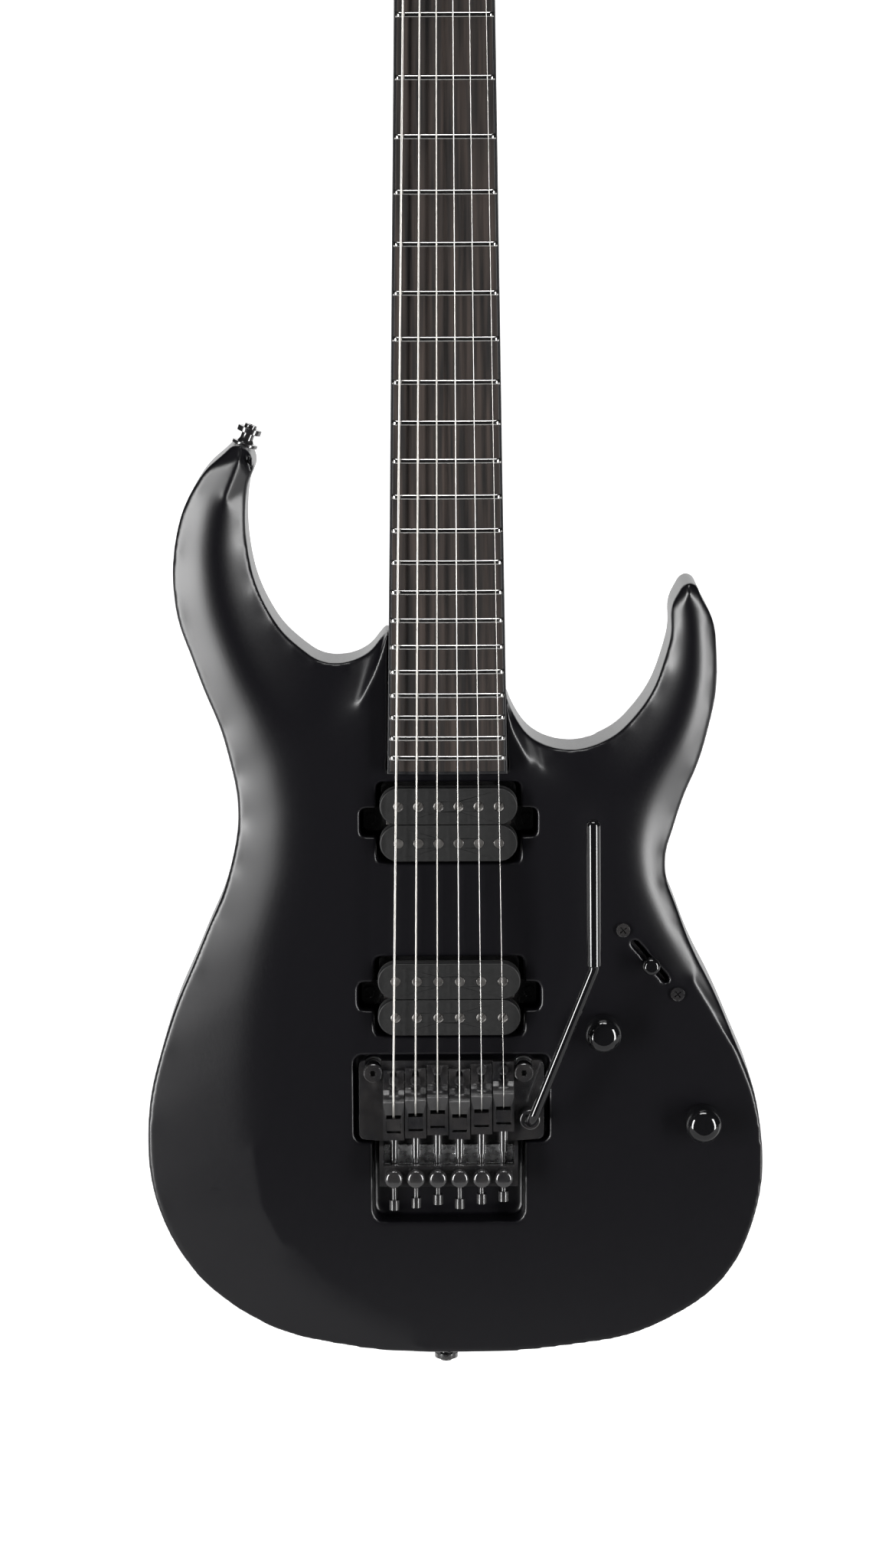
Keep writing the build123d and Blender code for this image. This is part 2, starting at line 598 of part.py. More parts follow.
with BuildPart() as fretboard_binding:
    add(board_blank(0, -BOARD_LENGTH, 0, NECK_TOP, BOARD_HEIGHT))
    add(
        board_blank(BINDING, -BOARD_LENGTH + BINDING, 1, NECK_TOP - 1, BOARD_HEIGHT + 5),
        mode=Mode.SUBTRACT,
    )
fretboard_binding.part.label = "fretboard_binding"
export_step(fretboard_binding.part, "parts/fretboard_binding.step")

with BuildPart() as frets:
    for z in FRET_LINES:
        with BuildPart(mode=Mode.PRIVATE) as wire:
            low, high = z - FRET_WIDTH / 2, z + FRET_WIDTH / 2
            crown_top = BOARD_HEIGHT + FRET_CROWN
            add(board_blank(FRET_MARGIN, low, high, BOARD_HEIGHT - 2.5, crown_top))
            add(
                board_blank(0, low - 1, high + 1, BOARD_HEIGHT - 3, BOARD_HEIGHT),
                mode=Mode.SUBTRACT,
            )
            crown = wire.faces().sort_by(Axis.Y)[0]
            chamfer(crown.edges().filter_by(lambda e: e.length > 10), 0.5)
        add(wire.part)
        with BuildSketch(front(BOARD_HEIGHT - FRET_TANG, 0)):
            with Locations((0, z)):
                Rectangle(2 * (half_width(z) - BINDING) - 2, TANG_WIDTH - 0.04)
        extrude(amount=FRET_TANG + 0.2)
frets.part.label = "frets"
export_step(frets.part, "parts/frets.step")

with BuildPart() as truss_rod:
    with BuildSketch(front(NECK_TOP - 0.5, 0)):
        with Locations((0, (HEAD_START + ROD_END) / 2)):
            Rectangle(ROD_WIDTH, HEAD_START - ROD_END)
    extrude(amount=-ROD_DEPTH + 0.5)
    with BuildSketch(Plane.XY.offset(HEAD_START)):
        with Locations((0, 3.2)):
            Circle(3)
            RegularPolygon(1.6, 6, mode=Mode.SUBTRACT)
    extrude(amount=8)
truss_rod.part.label = "truss_rod"
export_step(truss_rod.part, "parts/truss_rod.step")

COVER_PLATE = 1.6
COVER_LOW, COVER_HIGH = 2.0, 34.0              # the cover's ends along the headstock
COVER_SCREWS = [(0, COVER_LOW + 4), (0, COVER_HIGH - 4)]
with BuildPart() as truss_rod_cover:
    with BuildSketch(HEAD):
        with Locations((0, (COVER_LOW + COVER_HIGH) / 2)):
            Trapezoid(18, COVER_HIGH - COVER_LOW, 84)
        fillet(vertices(), 3)
        with Locations(*COVER_SCREWS):
            Circle(1.3, mode=Mode.SUBTRACT)
    extrude(amount=COVER_PLATE)
truss_rod_cover.part.label = "truss_rod_cover"
export_step(truss_rod_cover.part, "parts/truss_rod_cover.step")

# ---------------------------------------------------------------- locking nut and string retainer
NUT_DEPTH = 15.0
CLAMP_HEIGHT = 6.0
CLAMP_GAP = 1.3               # clamps stay this far above the nut's crown, past the thickest string
CLAMPS = [(-2 * NUT_SPACING, NUT_DEPTH / 2), (0, NUT_DEPTH / 2), (2 * NUT_SPACING, NUT_DEPTH / 2)]
CLAMP_FOOT = STRING_HEIGHT_NUT + CLAMP_GAP
with BuildPart() as locking_nut_base:
    with BuildSketch(front(NECK_TOP, 0)):
        with Locations((0, NUT_DEPTH / 2)):
            Rectangle(NUT_WIDTH - 0.4, NUT_DEPTH)
    extrude(amount=STRING_HEIGHT_NUT - NECK_TOP + 1)
    with BuildSketch(Plane.XY.offset(-1)):
        with Locations((0, BOARD_RADIUS - STRING_HEIGHT_NUT)):
            Circle(BOARD_RADIUS)
    extrude(amount=NUT_DEPTH + 2, mode=Mode.INTERSECT)
    with BuildSketch(front(NECK_TOP - 1, 0)):
        with Locations(*CLAMPS):
            Circle(2.5)
    extrude(amount=12, mode=Mode.SUBTRACT)
locking_nut_base.part.label = "locking_nut_base"
export_step(locking_nut_base.part, "parts/locking_nut_base.step")

with BuildPart() as locking_nut_clamps:
    with BuildSketch(front(CLAMP_FOOT, 0)):
        with Locations(*CLAMPS):
            Rectangle(2 * NUT_SPACING - 1, NUT_DEPTH - 2.5)
            Circle(2.6, mode=Mode.SUBTRACT)
    extrude(amount=CLAMP_HEIGHT)
    chamfer(locking_nut_clamps.faces().group_by(Axis.Y)[0].edges().filter_by(GeomType.LINE), 1)
locking_nut_clamps.part.label = "locking_nut_clamps"
export_step(locking_nut_clamps.part, "parts/locking_nut_clamps.step")

with BuildPart() as locking_nut_bolts:
    with BuildSketch(front(NECK_TOP + 0.2, 0)):
        with Locations(*CLAMPS):
            Circle(2.4)
    extrude(amount=CLAMP_FOOT + CLAMP_HEIGHT - NECK_TOP - 0.2)
    with BuildSketch(front(CLAMP_FOOT + CLAMP_HEIGHT, 0)):
        with Locations(*CLAMPS):
            Circle(4.2)
    extrude(amount=3)
    chamfer(locking_nut_bolts.faces().group_by(Axis.Y)[0].edges(), 0.5)
    with BuildSketch(front(CLAMP_FOOT + CLAMP_HEIGHT + 3, 0)):
        with Locations(*CLAMPS):
            RegularPolygon(1.7, 6)
    extrude(amount=-2.4, mode=Mode.SUBTRACT)
locking_nut_bolts.part.label = "locking_nut_bolts"
export_step(locking_nut_bolts.part, "parts/locking_nut_bolts.step")

RETAINER_ALONG = 13.0
RETAINER_FOOT = 6.4           # its underside above the headstock's face
RETAINER_SCREWS = ((-22.0, RETAINER_ALONG), (22.0, RETAINER_ALONG))
with BuildPart() as string_retainer:
    with BuildSketch(HEAD.offset(RETAINER_FOOT)):
        with Locations((0, RETAINER_ALONG)):
            SlotOverall(50, 6)
        with Locations(*RETAINER_SCREWS):
            Circle(1.4, mode=Mode.SUBTRACT)
    extrude(amount=4)
    fillet(string_retainer.faces().sort_by(Axis.Y)[0].edges().filter_by(GeomType.LINE), 1.2)
string_retainer.part.label = "string_retainer"
export_step(string_retainer.part, "parts/string_retainer.step")

# ---------------------------------------------------------------- tuners
HOUSING_BACK = 9.5
GEAR_RADIUS = 3.8
WORM_RADIUS = 1.9
WORM_OFFSET = GEAR_RADIUS + WORM_RADIUS + GAP
WORM_HEIGHT = -HEAD_THICKNESS - HOUSING_BACK / 2
POST_RADIUS = 3.0
POST_WAIST = 2.5
POST_TOP = 13.5
WRAP_HEIGHT = 5.2
BUTTON_REACH = 19.0
SHAFT_RADIUS = 1.7
TUNER_WALL = 1.4
HOUSING_LENGTH = 17.0
HOUSING_WIDTH = 16.4
HOUSING_SHIFT = WORM_OFFSET / 2 - 0.8

with BuildPart() as tuner_housings:
    for i in STRINGS:
        with BuildSketch(tuner_plane(i, -HEAD_THICKNESS)):
            with Locations((0, -HOUSING_SHIFT)):
                RectangleRounded(HOUSING_LENGTH, HOUSING_WIDTH, 3)
        extrude(amount=-HOUSING_BACK)
        with BuildSketch(tuner_plane(i, -HEAD_THICKNESS - TUNER_WALL)):
            with Locations((0, -HOUSING_SHIFT)):
                inside = HOUSING_LENGTH - 2 * TUNER_WALL, HOUSING_WIDTH - 2 * TUNER_WALL
                RectangleRounded(*inside, 2)
        extrude(amount=-HOUSING_BACK + 2 * TUNER_WALL, mode=Mode.SUBTRACT)
        with BuildSketch(tuner_plane(i, -HEAD_THICKNESS)):
            Circle(POST_RADIUS + RUNNING)
        extrude(amount=-TUNER_WALL, mode=Mode.SUBTRACT)
        worm_end = tuner_plane(i, WORM_HEIGHT)
        bore = Plane(
            origin=worm_end.from_local_coords(Vector(0, -WORM_OFFSET, 0)),
            x_dir=HEAD.z_dir, z_dir=worm_end.x_dir,
        )
        with BuildSketch(bore):
            Circle(SHAFT_RADIUS + RUNNING)
        extrude(amount=HOUSING_LENGTH, mode=Mode.SUBTRACT)
tuner_housings.part.label = "tuner_housings"
export_step(tuner_housings.part, "parts/tuner_housings.step")

with BuildPart() as tuner_bushings:
    for i in STRINGS:
        with BuildSketch(tuner_plane(i, -HEAD_THICKNESS)):
            Circle(BUSHING_HOLE)
        extrude(amount=HEAD_THICKNESS)
        with BuildSketch(tuner_plane(i, 0)):
            RegularPolygon(5.6, 6)
        extrude(amount=2.2)
        with BuildSketch(tuner_plane(i, 0)):
            Circle(7)
        extrude(amount=0.8)
        with BuildSketch(tuner_plane(i, -HEAD_THICKNESS - 1)):
            Circle(POST_RADIUS + RUNNING)
        extrude(amount=HEAD_THICKNESS + 4, mode=Mode.SUBTRACT)
tuner_bushings.part.label = "tuner_bushings"
export_step(tuner_bushings.part, "parts/tuner_bushings.step")

for i in STRINGS:
    with BuildPart() as post:
        with BuildSketch(tuner_plane(i, WORM_HEIGHT - 1.5)):
            Circle(GEAR_RADIUS)
        extrude(amount=3)
        with BuildSketch(tuner_plane(i, WORM_HEIGHT)):
            Circle(POST_RADIUS)
        extrude(amount=POST_TOP - WORM_HEIGHT)
        with BuildSketch(tuner_plane(i, WRAP_HEIGHT - 2)):
            Circle(POST_RADIUS + 1)
            Circle(POST_WAIST, mode=Mode.SUBTRACT)
        extrude(amount=5, mode=Mode.SUBTRACT)
        chamfer(post.faces().sort_by(Axis.Y)[0].edges(), 0.6)
    post.part.label = f"tuner_post_{i + 1}"
    export_step(post.part, f"parts/tuner_post_{i + 1}.step")

    worm_end = tuner_plane(i, WORM_HEIGHT)
    shaft_start = worm_end.from_local_coords(Vector(0, -WORM_OFFSET, 0))
    shaft_plane = Plane(origin=shaft_start, x_dir=HEAD.z_dir, z_dir=worm_end.x_dir)
    with BuildPart() as button:
        with BuildSketch(shaft_plane.offset(-HOUSING_LENGTH / 2 + TUNER_WALL + GAP)):
            Circle(WORM_RADIUS)
        extrude(amount=HOUSING_LENGTH - 2 * TUNER_WALL - 2 * GAP)
        with BuildSketch(shaft_plane):
            Circle(SHAFT_RADIUS)
        extrude(amount=BUTTON_REACH)
        with BuildSketch(shaft_plane.offset(BUTTON_REACH - 4)):
            Circle(3)
        extrude(amount=5)
        with BuildSketch(shaft_plane.offset(BUTTON_REACH)):
            Ellipse(8.5, 5.2)
        extrude(amount=13)
        fillet(button.faces().sort_by(Axis(shaft_start, worm_end.x_dir))[-1].edges(), 2.2)
    button.part.label = f"tuner_button_{i + 1}"
    export_step(button.part, f"parts/tuner_button_{i + 1}.step")

# ---------------------------------------------------------------- neck joint and strap buttons
with BuildPart() as neck_fasteners:
    for x, rise_z, sink in NECK_SCREWS:
        seat = -BODY_THICKNESS + sink
        with BuildSketch(front(seat, -BOARD_LENGTH)):
            with Locations((x, rise_z * STRETCH)):
                Circle(FERRULE / 2)
                Circle(SCREW_SHANK / 2 + 0.2, mode=Mode.SUBTRACT)
        extrude(amount=FERRULE_DEPTH)
        with BuildSketch(front(seat - 2.2, -BOARD_LENGTH)):
            with Locations((x, rise_z * STRETCH)):
                Circle(4.2)
        extrude(amount=2.2)
        with BuildSketch(front(seat, -BOARD_LENGTH)):
            with Locations((x, rise_z * STRETCH)):
                Circle(SCREW_SHANK / 2)
        extrude(amount=-seat - 4)
        with BuildSketch(front(seat - 2.2, -BOARD_LENGTH)):
            with Locations((x, rise_z * STRETCH)):
                Rectangle(4.6, 1)
                Rectangle(1, 4.6)
        extrude(amount=1.2, mode=Mode.SUBTRACT)
neck_fasteners.part.label = "neck_fasteners"
export_step(neck_fasteners.part, "parts/neck_fasteners.step")

STRAP_WAIST = 3.2
STRAP_HEIGHTS = (1.6, 6.4, 9.0)               # top of the flange, the waist and the head
with BuildPart() as strap_buttons:
    for seat in (UPPER_SEAT, LOWER_SEAT):
        flange_top, waist_top, head_top = STRAP_HEIGHTS
        with BuildSketch(seat):
            Circle(STRAP_FLANGE / 2)
        extrude(amount=flange_top)
        with BuildSketch(seat.offset(flange_top)):
            Circle(STRAP_WAIST + 1)
        with BuildSketch(seat.offset(flange_top + 2)):
            Circle(STRAP_WAIST)
        loft()
        with BuildSketch(seat.offset(flange_top + 2)):
            Circle(STRAP_WAIST)
        extrude(amount=waist_top - flange_top - 2)
        with BuildSketch(seat.offset(waist_top)):
            Circle(STRAP_FLANGE / 2 - 0.4)
        extrude(amount=head_top - waist_top)
        with BuildSketch(seat):
            Circle(1.8)
        extrude(amount=head_top, mode=Mode.SUBTRACT)
strap_buttons.part.label = "strap_buttons"
export_step(strap_buttons.part, "parts/strap_buttons.step")

# ---------------------------------------------------------------- pickups
BOBBIN_THICKNESS = 8.5
BASE_HEIGHT = PICKUP_HEIGHT - PICKUP_DEPTH
BASE_THICKNESS = 1.5
MAGNET = 3.2
with BuildPart() as pickup_bobbins:
    for centre, length, spacing in pickup_sites():
        for row in (-0.5, 0.5):
            z = centre + row * PICKUP_ROWS
            for low, thick in ((PICKUP_HEIGHT - 2.2, 2.2), (PICKUP_HEIGHT - BOBBIN_THICKNESS, 1.2)):
                with BuildSketch(front(low)):
                    with Locations((POLE_MIDDLE, z)):
                        SlotOverall(length, PICKUP_ROWS - 0.2)
                extrude(amount=thick)
            with BuildSketch(front(PICKUP_HEIGHT - BOBBIN_THICKNESS)):
                with Locations((POLE_MIDDLE, z)):
                    SlotOverall(length - 9, PICKUP_ROWS - 10)
            extrude(amount=BOBBIN_THICKNESS)
            with BuildSketch(front(PICKUP_HEIGHT - BOBBIN_THICKNESS)):
                with Locations((POLE_MIDDLE, z)):
                    with GridLocations(spacing, 1, 6, 1):
                        Circle(2.45)
            extrude(amount=BOBBIN_THICKNESS, mode=Mode.SUBTRACT)
    fillet(pickup_bobbins.faces().filter_by(Axis.Y).sort_by(Axis.Y)[:4].edges().filter_by(
        lambda e: e.length > 20), 0.8)
pickup_bobbins.part.label = "pickup_bobbins"
export_step(pickup_bobbins.part, "parts/pickup_bobbins.step")

with BuildPart() as pickup_coils:
    for centre, length, spacing in pickup_sites():
        for row in (-0.5, 0.5):
            with BuildSketch(front(PICKUP_HEIGHT - BOBBIN_THICKNESS + 1.2)):
                with Locations((POLE_MIDDLE, centre + row * PICKUP_ROWS)):
                    SlotOverall(length - 1.6, PICKUP_ROWS - 1.4)
                    SlotOverall(length - 9, PICKUP_ROWS - 10, mode=Mode.SUBTRACT)
            extrude(amount=BOBBIN_THICKNESS - 3.4)
pickup_coils.part.label = "pickup_coils"
export_step(pickup_coils.part, "parts/pickup_coils.step")

with BuildPart() as pickup_baseplates:
    for centre, length, spacing in pickup_sites():
        with BuildSketch(front(BASE_HEIGHT)):
            with Locations((POLE_MIDDLE, centre)):
                RectangleRounded(length - 1, PICKUP_WIDTH, 3)
                RectangleRounded(length + 2 * EAR_REACH - 2, EAR_WIDTH, 2)
                with GridLocations(length + 2 * EAR_REACH - 9, 1, 2, 1):
                    Circle(1.7, mode=Mode.SUBTRACT)
                with Locations((0, PICKUP_ROWS / 2), (0, -PICKUP_ROWS / 2)):
                    with GridLocations(spacing, 1, 6, 1):
                        Circle(2.5, mode=Mode.SUBTRACT)
        extrude(amount=BASE_THICKNESS)
pickup_baseplates.part.label = "pickup_baseplates"
export_step(pickup_baseplates.part, "parts/pickup_baseplates.step")

# Screw poles sit in the row nearer each end of the string, studs in the other.
with BuildPart() as pickup_poles:
    for (centre, length, spacing), screw_row in zip(pickup_sites(), (0.5, -0.5)):
        foot = BASE_HEIGHT + BASE_THICKNESS
        with BuildSketch(front(foot)):
            with Locations((POLE_MIDDLE, centre + screw_row * PICKUP_ROWS)):
                with GridLocations(spacing, 1, 6, 1):
                    Circle(1.5)
        extrude(amount=PICKUP_HEIGHT - foot)
        with BuildSketch(front(PICKUP_HEIGHT - 1.4)):
            with Locations((POLE_MIDDLE, centre + screw_row * PICKUP_ROWS)):
                with GridLocations(spacing, 1, 6, 1):
                    Circle(2.35)
        extrude(amount=1.6)
        with BuildSketch(front(PICKUP_HEIGHT - 0.6)):
            with Locations((POLE_MIDDLE, centre + screw_row * PICKUP_ROWS)):
                with GridLocations(spacing, 1, 6, 1):
                    Rectangle(5, 0.9, rotation=55)
        extrude(amount=1, mode=Mode.SUBTRACT)
        with BuildSketch(front(foot + 1)):
            with Locations((POLE_MIDDLE, centre - screw_row * PICKUP_ROWS)):
                with GridLocations(spacing, 1, 6, 1):
                    Circle(2.35)
        extrude(amount=PICKUP_HEIGHT - foot - 0.8)
        with BuildSketch(front(foot)):
            with Locations((POLE_MIDDLE, centre)):
                Rectangle(length - 6, 5)
        extrude(amount=MAGNET)
pickup_poles.part.label = "pickup_poles"
export_step(pickup_poles.part, "parts/pickup_poles.step")

# ---------------------------------------------------------------- controls
POT_BODY = 8.0
POT_BUSHING = 3.6
SHAFT = 3.0


def control_plane(place, height):
    return front(height, BRIDGE + place[1] * STRETCH).shift_origin(
        Vector(place[0], -height, BRIDGE + place[1] * STRETCH)
    )


with BuildPart() as potentiometers:
    for place in (VOLUME_AT, TONE_AT):
        with BuildSketch(control_plane(place, -TOP_SKIN)):
            Circle(POT_DIAMETER / 2)
            with Locations((0, -POT_DIAMETER / 2)):
                Rectangle(12, 7)
        extrude(amount=-POT_BODY)
        with BuildSketch(control_plane(place, -TOP_SKIN)):
            Circle(POT_BUSHING)
        extrude(amount=TOP_SKIN + 2.4)
        with BuildSketch(control_plane(place, 0)):
            RegularPolygon(5.8, 6)
        extrude(amount=1.8)
        with BuildSketch(control_plane(place, -TOP_SKIN - 3)):
            Circle(SHAFT + RUNNING)
        extrude(amount=TOP_SKIN + 6, mode=Mode.SUBTRACT)
potentiometers.part.label = "potentiometers"
export_step(potentiometers.part, "parts/potentiometers.step")

KNOB_FOOT = 0.8
for name, place in (("volume_knob", VOLUME_AT), ("tone_knob", TONE_AT)):
    with BuildPart() as knob:
        with BuildSketch(control_plane(place, KNOB_FOOT)):
            Circle(KNOB_DIAMETER / 2)
        extrude(amount=KNOB_HEIGHT)
        fillet(knob.faces().sort_by(Axis.Y)[0].edges(), KNOB_DIAMETER / 2 - 3)
        with BuildSketch(control_plane(place, KNOB_FOOT)):
            Circle(KNOB_DIAMETER / 2 - 1.6)
        extrude(amount=3, mode=Mode.SUBTRACT)
        with BuildSketch(control_plane(place, -TOP_SKIN - 3)):
            Circle(SHAFT)
        extrude(amount=TOP_SKIN + 3 + KNOB_FOOT + 4)
    knob.part.label = name
    export_step(knob.part, f"parts/{name}.step")

SWITCH_PIVOT = -20.0
SWITCH_PLATE = 1.5
LEVER_THICKNESS = 1.2
LEVER_WIDTH = 4.0
LEVER_TOP = 9.0
TIP_DIAMETER = 8.6
switch_centre = on_body(SWITCH_AT[0], SWITCH_AT[1])
along_slot = Vector(cos(radians(SWITCH_ANGLE)), 0, sin(radians(SWITCH_ANGLE)))
SWITCH_FACE = Plane(origin=switch_centre, x_dir=along_slot, z_dir=(0, -1, 0))
SWITCH_SIDE = Plane(
    origin=switch_centre, x_dir=along_slot, z_dir=along_slot.cross(Vector(0, -1, 0))
)
# On SWITCH_SIDE the first direction runs along the slot and the second out of the body.
CHEEK_GAP = LEVER_THICKNESS / 2 + GAP
with BuildPart() as switch_frame:
    with BuildSketch(SWITCH_FACE.offset(-TOP_SKIN)):
        RectangleRounded(SWITCH_SCREW_SPACING + 8, 11, 2)
        SlotOverall(27.3, 3.6, mode=Mode.SUBTRACT)
        with Locations((-SWITCH_SCREW_SPACING / 2, 0), (SWITCH_SCREW_SPACING / 2, 0)):
            Circle(1.6, mode=Mode.SUBTRACT)
    extrude(amount=-SWITCH_PLATE)
    for turned in (-1, 1):
        with BuildSketch(SWITCH_SIDE.offset(turned * CHEEK_GAP)):
            with Locations((0, -(TOP_SKIN + SWITCH_PLATE + 9))):
                Rectangle(34, 18)
        extrude(amount=turned * 3.2)
    with BuildSketch(SWITCH_SIDE.offset(-CHEEK_GAP)):
        with Locations((0, SWITCH_PIVOT)):
            Circle(1.5)
    extrude(amount=2 * CHEEK_GAP)
switch_frame.part.label = "switch_frame"
export_step(switch_frame.part, "parts/switch_frame.step")

with BuildPart() as switch_lever:
    with BuildSketch(SWITCH_SIDE.offset(-LEVER_THICKNESS / 2)):
        with Locations((0, SWITCH_PIVOT)):
            Circle(5)
        with Locations((0, (SWITCH_PIVOT + LEVER_TOP) / 2)):
            Rectangle(LEVER_WIDTH, LEVER_TOP - SWITCH_PIVOT)
        with Locations((0, SWITCH_PIVOT)):
            Circle(1.5 + RUNNING, mode=Mode.SUBTRACT)
    extrude(amount=LEVER_THICKNESS)
    with BuildSketch(SWITCH_FACE.offset(4)):
        Circle(TIP_DIAMETER / 2 - 1)
    with BuildSketch(SWITCH_FACE.offset(9)):
        Circle(TIP_DIAMETER / 2)
    loft()
    with BuildSketch(SWITCH_FACE.offset(9)):
        Circle(TIP_DIAMETER / 2)
    extrude(amount=3.5)
    fillet(switch_lever.faces().sort_by(Axis.Y)[0].edges(), 2.4)
switch_lever.part.label = "switch_lever"
export_step(switch_lever.part, "parts/switch_lever.step")

JACK_BORE = 3.2
with BuildPart() as output_jack:
    with BuildSketch(JACK_PLANE.offset(-JACK_RECESS)):
        Circle(JACK_FLANGE / 2)
    extrude(amount=1.5)
    with BuildSketch(JACK_PLANE.offset(-JACK_RECESS - 34)):
        Circle(JACK_BARREL / 2)
    extrude(amount=34)
    with BuildSketch(JACK_PLANE.offset(-JACK_RECESS + 1.5)):
        RegularPolygon(6.2, 6)
    extrude(amount=1.6)
    with BuildSketch(JACK_PLANE.offset(-JACK_RECESS - 30)):
        Circle(JACK_BORE)
    extrude(amount=36, mode=Mode.SUBTRACT)
output_jack.part.label = "output_jack"
export_step(output_jack.part, "parts/output_jack.step")

# ---------------------------------------------------------------- covers and fasteners
SPRING_MIDDLE = (SPRING_CAVITY_TOP + SPRING_CAVITY_LOW) / 2
SPRING_SPAN = SPRING_CAVITY_TOP - SPRING_CAVITY_LOW
with BuildPart() as spring_cover:
    with BuildSketch(front(-BODY_THICKNESS)):
        with Locations((0, SPRING_MIDDLE)):
            RectangleRounded(
                SPRING_CAVITY_WIDTH + 2 * COVER_LEDGE - 2 * SEAT,
                SPRING_SPAN + 2 * COVER_LEDGE - 2 * SEAT, 8,
            )
        with Locations((0, -12)):
            SlotOverall(62, 13, mode=Mode.SUBTRACT)
        with Locations(*SPRING_COVER_SCREWS):
            Circle(COVER_SCREW / 2 + SEAT, mode=Mode.SUBTRACT)
    extrude(amount=COVER_THICKNESS)
spring_cover.part.label = "spring_cover"
export_step(spring_cover.part, "parts/spring_cover.step")

with BuildPart() as control_cover:
    with BuildSketch(front(-BODY_THICKNESS)):
        with BuildLine():
            Polyline(*cavity_points, close=True)
        make_face()
        fillet(vertices(), 7)
        offset(amount=COVER_LEDGE - SEAT)
        with Locations(*[(x, z * STRETCH) for x, z in CONTROL_COVER_SCREWS]):
            Circle(COVER_SCREW / 2 + SEAT, mode=Mode.SUBTRACT)
    extrude(amount=COVER_THICKNESS)
control_cover.part.label = "control_cover"
export_step(control_cover.part, "parts/control_cover.step")


def screw_places():
    """Seat plane, head radius and shank length of each small screw."""
    for x, z in SPRING_COVER_SCREWS:
        yield control_plane((x, z / STRETCH), -BODY_THICKNESS).rotated((180, 0, 0)), 2.6, 10
    for x, z in CONTROL_COVER_SCREWS:
        yield control_plane((x, z), -BODY_THICKNESS).rotated((180, 0, 0)), 2.6, 10
    for end in (-1, 1):
        spot = switch_centre + along_slot * (end * SWITCH_SCREW_SPACING / 2)
        yield Plane(origin=spot, x_dir=along_slot, z_dir=(0, -1, 0)), 3.4, TOP_SKIN + 3
    for across, along in COVER_SCREWS:
        spot = on_head(across, along, COVER_PLATE)
        yield Plane(origin=spot, x_dir=(1, 0, 0), z_dir=HEAD.z_dir), 2.2, COVER_PLATE - 0.1
    for across, along in RETAINER_SCREWS:
        spot = on_head(across, along, RETAINER_FOOT + 4)
        yield Plane(origin=spot, x_dir=(1, 0, 0), z_dir=HEAD.z_dir), 2.4, RETAINER_FOOT + 4


with BuildPart() as small_screws:
    for seat, head, shank in screw_places():
        with BuildSketch(seat):
            Circle(head)
        extrude(amount=1.4)
        with BuildSketch(seat):
            Circle(1.05)
        extrude(amount=-shank)
        with BuildSketch(seat.offset(1.4)):
            Rectangle(head * 1.2, 0.6)
            Rectangle(0.6, head * 1.2)
        extrude(amount=-0.8, mode=Mode.SUBTRACT)
small_screws.part.label = "small_screws"
export_step(small_screws.part, "parts/small_screws.step")

CLAW_THICKNESS = 2.0
CLAW_HEIGHT = 12.0
CLAW_HALF = SPRING_CAVITY_WIDTH / 2 - 9
SPRING_PITCH = 14.0
SPRINGS = [(i - (SPRING_COUNT - 1) / 2) * SPRING_PITCH for i in range(SPRING_COUNT)]
SPRING_RADIUS = 4.0
WIRE = 1.3


def long_screws():
    """Seat plane, head radius, shank radius and length of each wood screw."""
    for x in CLAW_SCREWS:
        spot = Vector(x, SPRING_AXIS, BRIDGE + CLAW_Z - CLAW_THICKNESS)
        yield Plane(origin=spot, x_dir=(1, 0, 0), z_dir=(0, 0, -1)), 3.6, 2.0, 40
    for centre, length, spacing in pickup_sites():
        for end in (-1, 1):
            x = POLE_MIDDLE + end * (length + 2 * EAR_REACH - 9) / 2
            spot = Vector(x, -BASE_HEIGHT - BASE_THICKNESS, BRIDGE + centre)
            yield Plane(origin=spot, x_dir=(1, 0, 0), z_dir=(0, -1, 0)), 2.8, 1.5, None
    for seat in (UPPER_SEAT, LOWER_SEAT):
        yield seat.offset(STRAP_HEIGHTS[2]), 3.0, 1.75, 32


with BuildPart() as wood_screws:
    for seat, head, shank, length in long_screws():
        reach = BASE_THICKNESS + PICKUP_POCKET + BASE_HEIGHT - SEAT if length is None else length
        with BuildSketch(seat):
            Circle(head)
        extrude(amount=1.6)
        with BuildSketch(seat):
            Circle(shank)
        extrude(amount=-reach)
        with BuildSketch(seat.offset(1.6)):
            Rectangle(head * 1.3, 0.8)
            Rectangle(0.8, head * 1.3)
        extrude(amount=-1, mode=Mode.SUBTRACT)
wood_screws.part.label = "wood_screws"
export_step(wood_screws.part, "parts/wood_screws.step")

with BuildPart() as spring_claw:
    with BuildSketch(Plane.XY.offset(BRIDGE + CLAW_Z)):
        with Locations((0, SPRING_AXIS)):
            Rectangle(2 * CLAW_HALF, CLAW_HEIGHT)
            with Locations(*[(x, 0) for x in CLAW_SCREWS]):
                Circle(2.1, mode=Mode.SUBTRACT)
            with Locations(*[(x, 0) for x in SPRINGS]):
                Circle(1.6, mode=Mode.SUBTRACT)
    extrude(amount=-CLAW_THICKNESS)
spring_claw.part.label = "spring_claw"
export_step(spring_claw.part, "parts/spring_claw.step")

